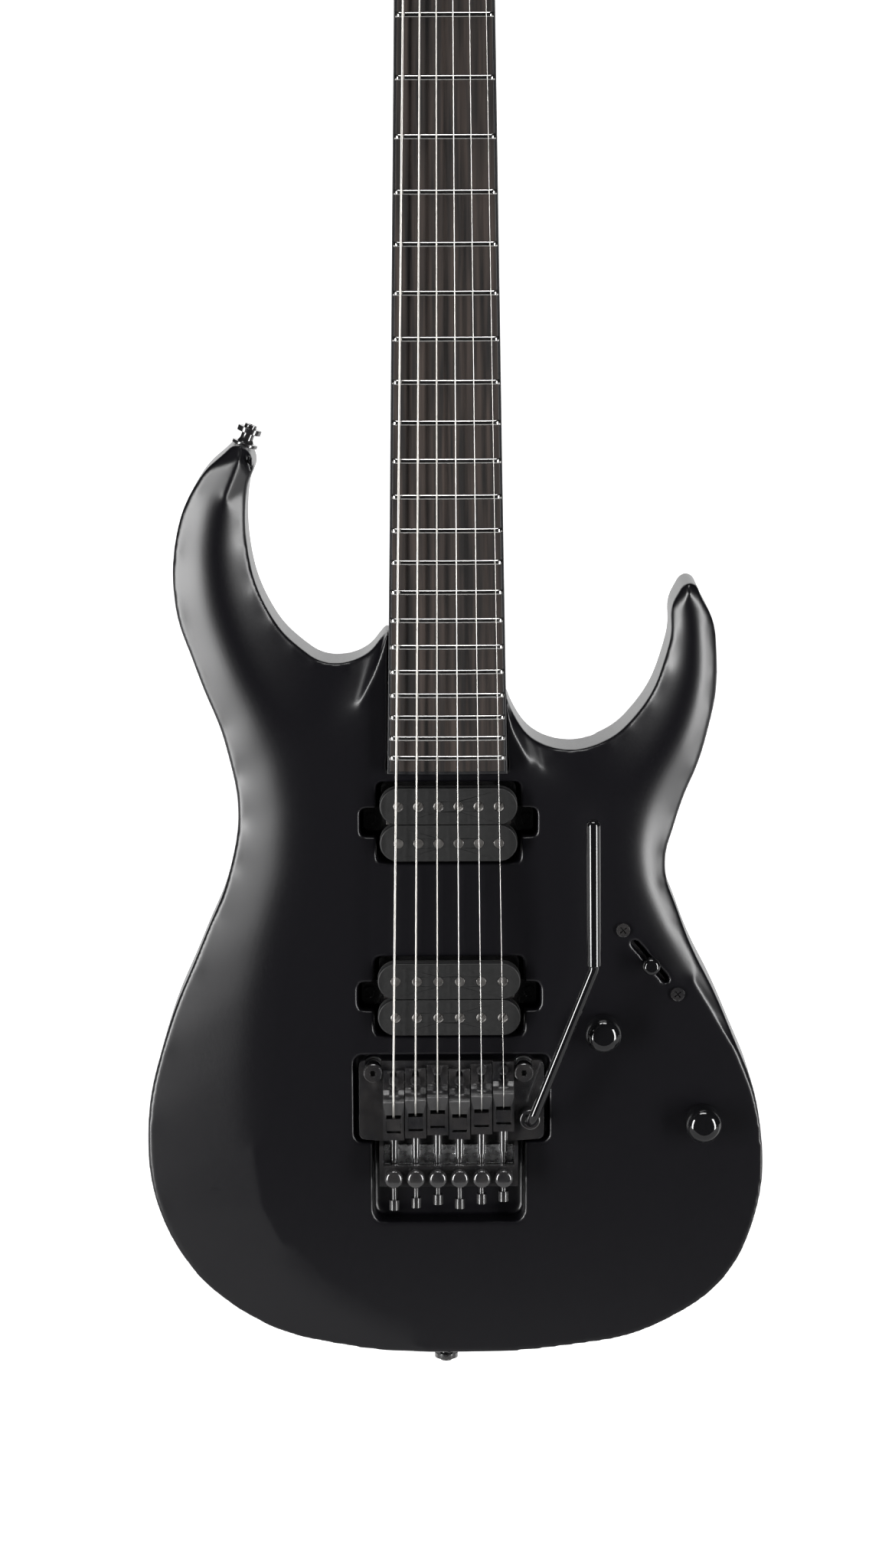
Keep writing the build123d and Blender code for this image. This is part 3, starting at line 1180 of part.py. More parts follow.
# ---------------------------------------------------------------- tremolo
INTONATION = (5.2, 6.4, 8.0, 5.9, 8.3, 9.5)   # front of each saddle above the bridge line
HOLD_DOWN = (0.3, 0.3, 5.6, 0.3, 5.6, 5.6)    # each saddle's screw is in one of two rows
SADDLE_WIDTH = BRIDGE_SPACING - 0.5
SADDLE_LENGTH = 33.7
CREST = 14.5                  # saddle's front to where the string touches
SLOT = 21.0                   # saddle's front to the string slot
INSERT = 6.0
LOCK_HEIGHT = 5.5
LOCK_LENGTH = 70.5            # saddle's front to the end of its lock screw
FINE_TUNER_Z = -46.7
FINE_TUNER_HEAD = 4.5
STEM = 1.8
BAR_FRONT = -41.5
BAR_HEIGHT = 7.6
BAR_TOP = 11.0
CHEEK = 2.0
ARM_AT = (max(STUD_SPACING / 2 + 2.85, 3 * BRIDGE_SPACING + 7.4), -19.0)
STUD_NECK = 3.2
STUDS = [(-STUD_SPACING / 2, STUD_Z), (STUD_SPACING / 2, STUD_Z)]
BLOCK_SCREWS = [(x, (BLOCK_FRONT + BLOCK_REAR) / 2) for x in (-22, 0, 22)]
PLATE_FOOT = PLATE_TOP - PLATE_THICKNESS
strings_across = [across_bridge(i) for i in STRINGS]

with BuildPart() as tremolo_studs:
    with BuildSketch(front(-RECESS_DEPTH - 13)):
        with Locations(*STUDS):
            Circle(4.0)
    extrude(amount=RECESS_DEPTH + 8)
    with BuildSketch(front(-5)):
        with Locations(*STUDS):
            Circle(STUD_NECK)
    extrude(amount=7.5)
    with BuildSketch(front(2.5)):
        with Locations(*STUDS):
            Circle(4.7)
    extrude(amount=2.5)
    chamfer(tremolo_studs.faces().group_by(Axis.Y)[0].edges(), 0.5)
    with BuildSketch(front(5)):
        with Locations(*STUDS):
            RegularPolygon(1.7, 6)
    extrude(amount=-2, mode=Mode.SUBTRACT)
tremolo_studs.part.label = "tremolo_studs"
export_step(tremolo_studs.part, "parts/tremolo_studs.step")

with BuildPart() as stud_bushings:
    with BuildSketch(front(-RECESS_DEPTH - 15.8)):
        with Locations(*STUDS):
            Circle(4.98)
            Circle(4.0 + RUNNING, mode=Mode.SUBTRACT)
    extrude(amount=15.8)
stud_bushings.part.label = "stud_bushings"
export_step(stud_bushings.part, "parts/stud_bushings.step")

with BuildPart() as bridge_plate:
    with BuildSketch(front(PLATE_FOOT)):
        with BuildLine():
            Polyline(
                (-PLATE_LEFT, PLATE_FRONT), (-PLATE_LEFT, PLATE_REAR + 1), (-TAIL_HALF, PLATE_REAR),
                (-TAIL_HALF, TAIL_REAR), (TAIL_HALF, TAIL_REAR), (TAIL_HALF, PLATE_REAR),
                (PLATE_RIGHT, PLATE_REAR + 1), (PLATE_RIGHT, PLATE_FRONT), close=True,
            )
        make_face()
        fillet(vertices().filter_by(lambda v: abs(v.X) > TAIL_HALF + 5), 3)
        for x, z in STUDS:
            with Locations((x, z)):
                Circle(STUD_NECK + 0.7, mode=Mode.SUBTRACT)
            with Locations((x, z + 5)):
                Rectangle(2 * STUD_NECK + 1.4, 10, mode=Mode.SUBTRACT)
        with Locations(*zip(strings_across, HOLD_DOWN)):
            Circle(1.4 + RUNNING, mode=Mode.SUBTRACT)
        with Locations(*BLOCK_SCREWS):
            Circle(2.0 + RUNNING, mode=Mode.SUBTRACT)
        with Locations(ARM_AT):
            Circle(4.2, mode=Mode.SUBTRACT)
    extrude(amount=PLATE_THICKNESS)
    for end in (-1, 1):
        with BuildSketch(front(PLATE_TOP)):
            with Locations((end * (TAIL_HALF - CHEEK / 2), (TAIL_REAR + PLATE_REAR) / 2)):
                Rectangle(CHEEK, PLATE_REAR - TAIL_REAR)
        extrude(amount=BAR_TOP - PLATE_TOP)
    with BuildSketch(front(BAR_HEIGHT)):
        with Locations((0, (TAIL_REAR + BAR_FRONT) / 2)):
            Rectangle(2 * TAIL_HALF, BAR_FRONT - TAIL_REAR)
        with Locations(*[(x, FINE_TUNER_Z) for x in strings_across]):
            Circle(STEM + RUNNING, mode=Mode.SUBTRACT)
    extrude(amount=BAR_TOP - BAR_HEIGHT)
bridge_plate.part.label = "bridge_plate"
export_step(bridge_plate.part, "parts/bridge_plate.step")

with BuildPart() as fine_tuner_spring:
    with BuildSketch(front(PLATE_TOP + 0.3)):
        with BuildLine():
            half = TAIL_HALF - CHEEK - 0.2
            Polyline(
                (-half, -33), (half, -33), (half, BAR_FRONT - 1), (-half, BAR_FRONT - 1),
                close=True,
            )
        make_face()
        with Locations(*[(x, -34) for x in strings_across]):
            SlotOverall(7, 4, rotation=90, mode=Mode.SUBTRACT)
    extrude(amount=1.2)
fine_tuner_spring.part.label = "fine_tuner_spring"
export_step(fine_tuner_spring.part, "parts/fine_tuner_spring.step")

with BuildPart() as sustain_block:
    with BuildSketch(front(PLATE_FOOT)):
        with Locations((0, (BLOCK_FRONT + BLOCK_REAR) / 2)):
            Rectangle(2 * BLOCK_HALF, BLOCK_FRONT - BLOCK_REAR)
    extrude(amount=-(BODY_THICKNESS - BLOCK_END + PLATE_FOOT))
    with BuildSketch(front(PLATE_FOOT)):
        with Locations(*BLOCK_SCREWS):
            Circle(2.0 + RUNNING)
    extrude(amount=-15, mode=Mode.SUBTRACT)
    with BuildSketch(Plane.XY.offset(BRIDGE + BLOCK_FRONT)):
        with Locations(*[(x, SPRING_AXIS) for x in SPRINGS]):
            Circle(1.6)
    extrude(amount=-6, mode=Mode.SUBTRACT)
sustain_block.part.label = "sustain_block"
export_step(sustain_block.part, "parts/sustain_block.step")

with BuildPart() as saddles:
    for i in STRINGS:
        start = INTONATION[i]
        top = bridge_string_height(i) - STRING_GAUGES[i] / 2 - RUNNING
        with BuildSketch(side(strings_across[i])):
            with BuildLine():
                Polyline(
                    (PLATE_TOP, start), (PLATE_TOP + 2.5, start), (PLATE_TOP + 2.5, start - 10),
                    (top - 2.5, start - 12.5), (top, start - CREST), (top - 1, start - SLOT),
                    (top - 0.8, start - SADDLE_LENGTH), (PLATE_TOP, start - SADDLE_LENGTH),
                    close=True,
                )
            make_face()
        extrude(amount=SADDLE_WIDTH / 2, both=True)
        with BuildSketch(front(PLATE_TOP + 2.8)):
            with Locations((strings_across[i], start - SLOT - 1 - INSERT / 2 - 0.6)):
                Rectangle(SADDLE_WIDTH - 3, INSERT + 3.2)
        extrude(amount=20, mode=Mode.SUBTRACT)
        with BuildSketch(front(PLATE_TOP)):
            with Locations((strings_across[i], start - 5.2)):
                SlotOverall(9, 3.2, rotation=90)
        extrude(amount=10, mode=Mode.SUBTRACT)
        with BuildSketch(Plane.XY.offset(BRIDGE + start - SADDLE_LENGTH)):
            with Locations((strings_across[i], -LOCK_HEIGHT)):
                Circle(2.0 + RUNNING)
        extrude(amount=6, mode=Mode.SUBTRACT)
        with BuildSketch(front(PLATE_TOP + 2.9)):
            with Locations((strings_across[i], start - SLOT - 2 - INSERT / 2)):
                Rectangle(SADDLE_WIDTH - 3.2, INSERT)
        extrude(amount=top - PLATE_TOP - 4)
saddles.part.label = "saddles"
export_step(saddles.part, "parts/saddles.step")

with BuildPart() as bridge_screws:
    with BuildSketch(front(PLATE_FOOT + 0.1)):
        with Locations(*zip(strings_across, HOLD_DOWN)):
            Circle(1.4)
    extrude(amount=PLATE_THICKNESS + 2.4)
    with BuildSketch(front(PLATE_TOP + 2.5)):
        with Locations(*zip(strings_across, HOLD_DOWN)):
            Circle(2.3)
            RegularPolygon(1.2, 6, mode=Mode.SUBTRACT)
    extrude(amount=2.2)
    with BuildSketch(front(PLATE_FOOT - 14)):
        with Locations(*BLOCK_SCREWS):
            Circle(2.0)
    extrude(amount=14 + PLATE_THICKNESS - 0.1)
bridge_screws.part.label = "bridge_screws"
export_step(bridge_screws.part, "parts/bridge_screws.step")

with BuildPart() as string_lock_screws:
    for i in STRINGS:
        rear = BRIDGE + INTONATION[i] - LOCK_LENGTH
        inner = BRIDGE + INTONATION[i] - SLOT - 2 - INSERT
        for low, high, radius in ((inner - 16, inner, 2.0), (rear, inner - 10, 1.3), (rear, rear + 5, 2.5)):
            with BuildSketch(Plane.XY.offset(low)):
                with Locations((strings_across[i], -LOCK_HEIGHT)):
                    Circle(radius)
            extrude(amount=high - low)
        with BuildSketch(Plane.XY.offset(rear)):
            with Locations((strings_across[i], -LOCK_HEIGHT)):
                RegularPolygon(1.4, 6)
        extrude(amount=3, mode=Mode.SUBTRACT)
string_lock_screws.part.label = "string_lock_screws"
export_step(string_lock_screws.part, "parts/string_lock_screws.step")

for i in STRINGS:
    with BuildPart() as fine_tuner:
        with BuildSketch(front(LOCK_HEIGHT + 1.3 + GAP)):
            with Locations((strings_across[i], FINE_TUNER_Z)):
                Circle(STEM)
        extrude(amount=BAR_TOP + 1.5 - LOCK_HEIGHT - 1.3 - GAP)
        with BuildSketch(front(BAR_TOP + 1.2)):
            with Locations((strings_across[i], FINE_TUNER_Z)):
                Circle(FINE_TUNER_HEAD)
        extrude(amount=5.6)
        chamfer(fine_tuner.faces().sort_by(Axis.Y)[0].edges(), 0.7)
    fine_tuner.part.label = f"fine_tuner_{i + 1}"
    export_step(fine_tuner.part, f"parts/fine_tuner_{i + 1}.step")

COLLAR_TOP = 9.0
with BuildPart() as arm_collar:
    with BuildSketch(front(PLATE_TOP)):
        with Locations(ARM_AT):
            Circle(5.2)
    extrude(amount=COLLAR_TOP - PLATE_TOP)
    chamfer(arm_collar.faces().sort_by(Axis.Y)[0].edges(), 0.6)
    with BuildSketch(front(PLATE_FOOT - 3)):
        with Locations(ARM_AT):
            Circle(4.1)
    extrude(amount=PLATE_THICKNESS + 3)
    with BuildSketch(front(PLATE_FOOT - 4)):
        with Locations(ARM_AT):
            Circle(ARM_DIAMETER / 2 + RUNNING)
    extrude(amount=20, mode=Mode.SUBTRACT)
arm_collar.part.label = "arm_collar"
export_step(arm_collar.part, "parts/arm_collar.step")

# The arm leaves its collar square to the plate, leans out, then runs up over the body.
ARM_ROD = 2.6
ARM_SLEEVE = 3.5
ARM_POINTS = [
    Vector(ARM_AT[0], -2.6, BRIDGE + ARM_AT[1]),
    Vector(ARM_AT[0], -17, BRIDGE + ARM_AT[1]),
    Vector(70.5, -27, BRIDGE + 61.5),
    Vector(69.6, -33, BRIDGE + 136.5),
]
ARM_BENDS = (7.0, 12.0)


def bend_ends(before, corner, after, radius):
    """Where an arc of this radius starts and ends at a corner."""
    arriving = (corner - before).normalized()
    leaving = (after - corner).normalized()
    reach = radius * sqrt((1 - arriving.dot(leaving)) / (1 + arriving.dot(leaving)))
    return corner - arriving * reach, corner + leaving * reach


with BuildPart() as tremolo_arm:
    with BuildLine() as arm_path:
        here = ARM_POINTS[0]
        for before, corner, after, radius in zip(ARM_POINTS, ARM_POINTS[1:], ARM_POINTS[2:], ARM_BENDS):
            first, last = bend_ends(before, corner, after, radius)
            Line(here, first)
            TangentArc(first, last, tangent=(corner - before).normalized())
            here = last
        Line(here, ARM_POINTS[-1])
    with BuildSketch(Plane(origin=ARM_POINTS[0], z_dir=(0, -1, 0))):
        Circle(ARM_ROD)
    sweep()
    with BuildSketch(Plane(origin=ARM_POINTS[0], z_dir=(0, -1, 0))):
        Circle(ARM_DIAMETER / 2)
    extrude(amount=8)
    upward = (ARM_POINTS[3] - ARM_POINTS[2]).normalized()
    with BuildSketch(Plane(origin=here, z_dir=upward)):
        Circle(ARM_SLEEVE)
    extrude(amount=(ARM_POINTS[3] - here).length)
    fillet(tremolo_arm.faces().sort_by(Axis(here, upward))[-1].edges(), ARM_SLEEVE - 0.5)
tremolo_arm.part.label = "tremolo_arm"
export_step(tremolo_arm.part, "parts/tremolo_arm.step")

with BuildPart() as tremolo_springs:
    coil_low = BRIDGE + BLOCK_FRONT + 6
    coil_high = BRIDGE + CLAW_Z - CLAW_THICKNESS - 6
    with BuildSketch(Plane.XY.offset(coil_low)):
        with Locations(*[(x, SPRING_AXIS) for x in SPRINGS]):
            Circle(SPRING_RADIUS)
            Circle(SPRING_RADIUS - WIRE, mode=Mode.SUBTRACT)
    extrude(amount=coil_high - coil_low)
    for level in (coil_low, coil_high - WIRE):
        with BuildSketch(Plane.XY.offset(level)):
            with Locations(*[(x, SPRING_AXIS) for x in SPRINGS]):
                Circle(SPRING_RADIUS)
        extrude(amount=WIRE)
    for low, high in ((BRIDGE + BLOCK_FRONT - 4, coil_low), (coil_high, BRIDGE + CLAW_Z + 3)):
        with BuildSketch(Plane.XY.offset(low)):
            with Locations(*[(x, SPRING_AXIS) for x in SPRINGS]):
                Circle(WIRE / 2)
        extrude(amount=high - low)
tremolo_springs.part.label = "tremolo_springs"
export_step(tremolo_springs.part, "parts/tremolo_springs.step")

# ---------------------------------------------------------------- strings
WRAPS = 2


def string_points(i):
    """The line of a string from its clamp, over the saddle and nut, to its post."""
    radius = STRING_GAUGES[i] / 2
    x, start = strings_across[i], BRIDGE + INTONATION[i]
    height, nut_height = bridge_string_height(i), nut_string_height(i)
    across, along = post_at(i)
    reach = POST_WAIST + RUNNING + radius
    lean = (across + reach - across_nut(i)) / along
    return [
        Vector(x, -height + 5, start - SLOT - 1),
        Vector(x, -height + 0.6, start - SLOT - 1),
        Vector(x, -height, start - CREST),
        Vector(across_nut(i), -nut_height, 0),
        Vector(across_nut(i), -nut_height, NUT_DEPTH),
        on_head(across_nut(i) + lean * RETAINER_ALONG, RETAINER_ALONG, RETAINER_FOOT - radius - GAP),
        on_head(across + reach, along, WRAP_HEIGHT),
    ]


with BuildPart() as strings:
    for i in STRINGS:
        radius = STRING_GAUGES[i] / 2
        points = string_points(i)
        for near, far in zip(points, points[1:]):
            with BuildSketch(Plane(origin=near, z_dir=far - near)):
                Circle(radius)
            extrude(amount=(far - near).length)
        with Locations(*points[1:-1]):
            Sphere(radius + 0.01)
        with BuildSketch(tuner_plane(i, WRAP_HEIGHT - (WRAPS - 0.5) * 2 * radius)):
            Circle(POST_WAIST + RUNNING + 2 * radius)
            Circle(POST_WAIST + RUNNING, mode=Mode.SUBTRACT)
        extrude(amount=WRAPS * 2 * radius)
strings.part.label = "strings"
export_step(strings.part, "parts/strings.step")
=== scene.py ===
from math import cos, pi, radians, sin

import bpy
import numpy as np
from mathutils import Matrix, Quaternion, Vector


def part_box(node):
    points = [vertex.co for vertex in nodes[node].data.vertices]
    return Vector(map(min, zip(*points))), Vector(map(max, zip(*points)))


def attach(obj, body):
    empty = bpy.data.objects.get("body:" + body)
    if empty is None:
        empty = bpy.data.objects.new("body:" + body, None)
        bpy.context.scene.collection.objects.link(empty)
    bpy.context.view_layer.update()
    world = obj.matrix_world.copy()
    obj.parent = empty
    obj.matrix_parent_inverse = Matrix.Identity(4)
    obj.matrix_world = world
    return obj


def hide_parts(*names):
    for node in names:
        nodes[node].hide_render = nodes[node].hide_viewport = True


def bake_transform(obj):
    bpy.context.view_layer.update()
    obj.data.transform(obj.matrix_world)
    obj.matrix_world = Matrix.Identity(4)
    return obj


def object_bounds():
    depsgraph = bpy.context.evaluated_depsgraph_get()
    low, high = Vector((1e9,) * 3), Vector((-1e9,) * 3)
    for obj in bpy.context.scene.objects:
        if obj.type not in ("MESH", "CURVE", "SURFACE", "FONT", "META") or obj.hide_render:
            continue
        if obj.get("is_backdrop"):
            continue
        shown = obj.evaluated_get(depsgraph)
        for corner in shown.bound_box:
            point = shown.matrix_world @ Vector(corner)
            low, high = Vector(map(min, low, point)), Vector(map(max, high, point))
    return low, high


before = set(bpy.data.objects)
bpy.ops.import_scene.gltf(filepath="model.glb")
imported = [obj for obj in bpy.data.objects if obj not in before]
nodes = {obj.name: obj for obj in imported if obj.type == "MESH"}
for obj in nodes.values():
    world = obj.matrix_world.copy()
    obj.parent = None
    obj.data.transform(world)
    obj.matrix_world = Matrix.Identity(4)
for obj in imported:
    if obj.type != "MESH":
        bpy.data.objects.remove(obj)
cad_low, cad_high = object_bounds()

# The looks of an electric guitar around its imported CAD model.  Sizes below are millimetres in
# the CAD's own words, and MM turns them into Blender's metres.  Heights are forward of the
# body's top, so y = -height; z runs up the neck from the nut line.
MM = 0.001
SCALE_LENGTH = 648.0
BRIDGE = -SCALE_LENGTH
NUT_WIDTH = 43.0
BOARD_END_WIDTH = 58.0
BOARD_HEIGHT = 8.0
BOARD_RADIUS = 400.0
FRET_MARGIN = 0.6
FRET_COUNT = 24
FRET_WIDTH = 2.6
FRET_CROWN = 1.2
BOARD_LENGTH = SCALE_LENGTH * (1 - 2 ** (-FRET_COUNT / 12)) + 8
NECK_TOP = 2.0
GAUGES = (1.17, 0.91, 0.66, 0.43, 0.33, 0.25)
WOUND = 3
NUT_SPACING = 7.0
BRIDGE_SPACING = 10.8
NUT_DEPTH = 15.0
STRING_HEIGHT_NUT = 9.6
STRING_HEIGHT_BRIDGE = 12.3
HEAD_TILT = radians(10.5)
HEAD_START = 17.0
TUNER_PITCH = 25.5
TUNER_SHIFT = 7.4
RETAINER_ALONG = 13.0
RETAINER_FOOT = 6.4
WRAP_HEIGHT = 5.2
POST_WAIST = 2.5
POST_TURNS = 2.9
INTONATION = (5.2, 6.4, 8.0, 5.9, 8.3, 9.5)
CREST = 14.5
SLOT = 21.0
BODY_THICKNESS = 43.0
SPRING_AXIS = BODY_THICKNESS - 8.0
SPRINGS = (-14.0, 0.0, 14.0)
SPRING_RADIUS = 4.0
WIRE = 1.3
COIL_LOW = BRIDGE - 0.5
COIL_HIGH = BRIDGE + 70.0
HOOK_LOW = BRIDGE - 10.0
HOOK_HIGH = BRIDGE + 79.0
FINE_TUNER_HEAD = 4.5
PIVOT_Z = BRIDGE + 0.7


# ------------------------------------------------------------------ materials
def material(name, color, roughness, metallic=0.0, specular=0.5, coat=0.0, coat_roughness=0.1):
    """A principled material with its plain values set, and its nodes ready for more."""
    made = bpy.data.materials.new(name)
    made.use_nodes = True
    shader = made.node_tree.nodes["Principled BSDF"]
    shader.inputs["Base Color"].default_value = (*color, 1)
    shader.inputs["Roughness"].default_value = roughness
    shader.inputs["Metallic"].default_value = metallic
    shader.inputs["Specular IOR Level"].default_value = specular
    shader.inputs["Coat Weight"].default_value = coat
    shader.inputs["Coat Roughness"].default_value = coat_roughness
    return made


def add_node(made, kind, **values):
    node = made.node_tree.nodes.new(kind)
    for key, value in values.items():
        if key in node.inputs:
            node.inputs[key].default_value = value
        else:
            setattr(node, key, value)
    return node


def join(made, out, into):
    made.node_tree.links.new(out, into)


def place(made, scale):
    """Object coordinates stretched by a scale along each axis."""
    where = add_node(made, "ShaderNodeTexCoord")
    mapping = add_node(made, "ShaderNodeMapping")
    mapping.inputs["Scale"].default_value = scale
    join(made, where.outputs["Object"], mapping.inputs["Vector"])
    return mapping.outputs["Vector"]


def noise(made, scale, detail=4.0, stretch=(1, 1, 1)):
    texture = add_node(made, "ShaderNodeTexNoise", Scale=scale, Detail=detail)
    join(made, place(made, stretch), texture.inputs["Vector"])
    return texture.outputs["Fac"]


def ramp(made, factor, low, high, start=0.35, end=0.65):
    """A factor turned into a value or colour between low and high."""
    mixer = add_node(made, "ShaderNodeValToRGB")
    mixer.color_ramp.elements[0].position = start
    mixer.color_ramp.elements[1].position = end
    mixer.color_ramp.elements[0].color = low
    mixer.color_ramp.elements[1].color = high
    join(made, factor, mixer.inputs["Fac"])
    return mixer.outputs["Color"]


def grey(value):
    return (value, value, value, 1)


def vary_roughness(made, factor, low, high):
    shader = made.node_tree.nodes["Principled BSDF"]
    join(made, ramp(made, factor, grey(low), grey(high)), shader.inputs["Roughness"])


def vary_color(made, factor, low, high, start=0.35, end=0.65):
    shader = made.node_tree.nodes["Principled BSDF"]
    join(made, ramp(made, factor, (*low, 1), (*high, 1), start, end), shader.inputs["Base Color"])


def bump(made, factor, strength, distance):
    shader = made.node_tree.nodes["Principled BSDF"]
    node = add_node(made, "ShaderNodeBump", Strength=strength, Distance=distance)
    join(made, factor, node.inputs["Height"])
    join(made, node.outputs["Normal"], shader.inputs["Normal"])


def satin_lacquer():
    """Black satin lacquer: the faint orange peel and open grain of a sprayed body."""
    made = material("satin_lacquer", (0.0022, 0.002, 0.003), 0.31, specular=0.42)
    vary_roughness(made, noise(made, 900, 3), 0.30, 0.32)
    grain = noise(made, 260, 6, (1, 1, 0.12))
    bump(made, grain, 0.05, 0.00003)
    return made


def ebony():
    made = material("ebony", (0.02, 0.015, 0.012), 0.5, specular=0.35)
    streaks = noise(made, 420, 7, (1, 1, 0.035))
    vary_color(made, streaks, (0.006, 0.005, 0.0048), (0.034, 0.025, 0.021), 0.38, 0.72)
    bump(made, noise(made, 1500, 4, (1, 1, 0.05)), 0.25, 0.00008)
    return made


def plated(name, color, low, high, scratch=0.06):
    """Plated or polished metal with faint rubbed marks."""
    made = material(name, color, (low + high) / 2, metallic=1.0)
    vary_roughness(made, noise(made, 300, 5), low, high)
    bump(made, noise(made, 1800, 3), scratch, 0.00003)
    return made


def black_plating():
    made = material("black_plating", (0.012, 0.012, 0.013), 0.2, specular=0.7, coat=0.6)
    vary_roughness(made, noise(made, 240, 5), 0.16, 0.27)
    vary_color(made, noise(made, 90, 4), (0.009, 0.009, 0.010), (0.018, 0.017, 0.017))
    bump(made, noise(made, 1600, 3), 0.05, 0.00003)
    return made


def moulded(name, color, low, high, specular=0.4):
    made = material(name, color, (low + high) / 2, specular=specular)
    vary_roughness(made, noise(made, 700, 3), low, high)
    bump(made, noise(made, 2600, 2), 0.10, 0.00003)
    return made


def coil_tape():
    """Black cloth tape over the coil: a fine crossed weave."""
    made = material("coil_tape", (0.012, 0.012, 0.013), 0.75, specular=0.3)
    weave = add_node(made, "ShaderNodeTexWave", Scale=1100.0)
    weave.bands_direction = "Z"
    join(made, place(made, (1, 1, 1)), weave.inputs["Vector"])
    cross = add_node(made, "ShaderNodeTexWave", Scale=1100.0)
    cross.bands_direction = "X"
    join(made, place(made, (1, 1, 1)), cross.inputs["Vector"])
    both = add_node(made, "ShaderNodeMath", operation="MAXIMUM")
    join(made, weave.outputs["Fac"], both.inputs[0])
    join(made, cross.outputs["Fac"], both.inputs[1])
    bump(made, both.outputs["Value"], 0.5, 0.0001)
    vary_color(made, both.outputs["Value"], (0.008, 0.008, 0.009), (0.02, 0.02, 0.021))
    return made


def wound_wire():
    """Round-wound string: a fine helix of wrap wire."""
    made = material("wound_wire", (0.36, 0.35, 0.33), 0.34, metallic=1.0)
    wrap = add_node(made, "ShaderNodeTexWave", Scale=1250.0)
    wrap.bands_direction = "Z"
    join(made, place(made, (1, 1, 1)), wrap.inputs["Vector"])
    bump(made, wrap.outputs["Fac"], 0.05, 0.00003)
    vary_roughness(made, noise(made, 400, 3), 0.32, 0.4)
    return made


LACQUER = satin_lacquer()
EBONY = ebony()
FRET_WIRE = plated("fret_wire", (0.52, 0.51, 0.50), 0.12, 0.2)
PLAIN_WIRE = plated("plain_wire", (0.55, 0.54, 0.52), 0.3, 0.4, 0.0)
WOUND_WIRE = wound_wire()
STEEL = plated("steel", (0.55, 0.55, 0.56), 0.28, 0.42)
BRIGHT = plated("bright_steel", (0.85, 0.85, 0.86), 0.22, 0.34)
POLE = plated("pole_steel", (0.26, 0.25, 0.24), 0.3, 0.42)
BLACK_METAL = black_plating()
BOBBIN = moulded("bobbin_plastic", (0.011, 0.011, 0.011), 0.42, 0.5, specular=0.3)
BLACK_PLASTIC = moulded("black_plastic", (0.008, 0.008, 0.009), 0.3, 0.38)
GLOSS = moulded("gloss_black", (0.004, 0.004, 0.0045), 0.06, 0.1, specular=0.6)
BINDING_PLASTIC = moulded("binding", (0.008, 0.008, 0.009), 0.34, 0.44)
TAPE = coil_tape()
DOT = moulded("side_dot", (0.7, 0.7, 0.66), 0.3, 0.4)

LOOKS = {
    "neck": LACQUER, "fretboard": EBONY, "fretboard_binding": BINDING_PLASTIC,
    "truss_rod": STEEL, "truss_rod_cover": BLACK_PLASTIC,
    "pickup_bobbins": BOBBIN, "pickup_coils": TAPE, "pickup_baseplates": BLACK_METAL,
    "pickup_poles": POLE, "potentiometers": STEEL, "switch_frame": STEEL,
    "spring_cover": BLACK_PLASTIC, "control_cover": BLACK_PLASTIC, "spring_claw": STEEL,
    "stud_bushings": STEEL, "sustain_block": STEEL, "fine_tuner_spring": BRIGHT,
    "volume_knob": GLOSS, "tone_knob": GLOSS, "switch_lever": GLOSS, "tremolo_arm": GLOSS,
}
EDGES = {"neck": 0.6, "fretboard": 0.15, "fretboard_binding": 0.3, "spring_cover": 0.4,
         "control_cover": 0.4, "sustain_block": 0.6, "volume_knob": 0.3, "tone_knob": 0.3}
EDGE = 0.22                   # bevel of the other metal and plastic edges
SEAM = 0.00001                # vertices this close are one vertex
REBUILT = {"body", "frets", "strings", "tremolo_springs"} | {
    f"fine_tuner_{i + 1}" for i in range(6)}


def finish_edges(thing, width):
    """Closes the mesh's seams, rounds its sharp edges a little and shades it smoothly."""
    weld = thing.modifiers.new("weld", "WELD")
    weld.merge_threshold = SEAM
    bevel = thing.modifiers.new("bevel", "BEVEL")
    bevel.width = width * MM
    bevel.segments = 2
    bevel.limit_method = "ANGLE"
    bevel.angle_limit = radians(34)
    bevel.harden_normals = True
    bevel.use_clamp_overlap = True
    for face in thing.data.polygons:
        face.use_smooth = True
    weighted = thing.modifiers.new("weighted", "WEIGHTED_NORMAL")
    weighted.keep_sharp = True


for name, node in nodes.items():
    if name in REBUILT:
        continue
    node.data.materials.clear()
    node.data.materials.append(LOOKS.get(name, BLACK_METAL))
    finish_edges(node, EDGES.get(name, EDGE))


# ------------------------------------------------------------------ mesh helpers
def new_piece(name, verts, faces, made, smooth=True):
    mesh = bpy.data.meshes.new(name)
    mesh.from_pydata([tuple(v) for v in verts], [], faces)
    mesh.update()
    piece = bpy.data.objects.new(name, mesh)
    bpy.context.scene.collection.objects.link(piece)
    mesh.materials.append(made)
    for face in mesh.polygons:
        face.use_smooth = smooth
    return piece


def tube(path, radius, sides):
    """Vertices and faces of a closed round tube along a path of points."""
    points = [Vector(p) for p in path]
    verts = []
    faces = []
    normal = None
    for i, point in enumerate(points):
        ahead = points[min(i + 1, len(points) - 1)] - points[max(i - 1, 0)]
        ahead.normalize()
        if normal is None:
            normal = ahead.orthogonal().normalized()
        normal = (normal - ahead * normal.dot(ahead)).normalized()
        across = ahead.cross(normal)
        for k in range(sides):
            turn = 2 * pi * k / sides
            verts.append(point + (normal * cos(turn) + across * sin(turn)) * radius)
    for i in range(len(points) - 1):
        for k in range(sides):
            after = (k + 1) % sides
            faces.append((i * sides + k, i * sides + after,
                          (i + 1) * sides + after, (i + 1) * sides + k))
    faces.append(tuple(range(sides))[::-1])
    faces.append(tuple((len(points) - 1) * sides + k for k in range(sides)))
    return verts, faces


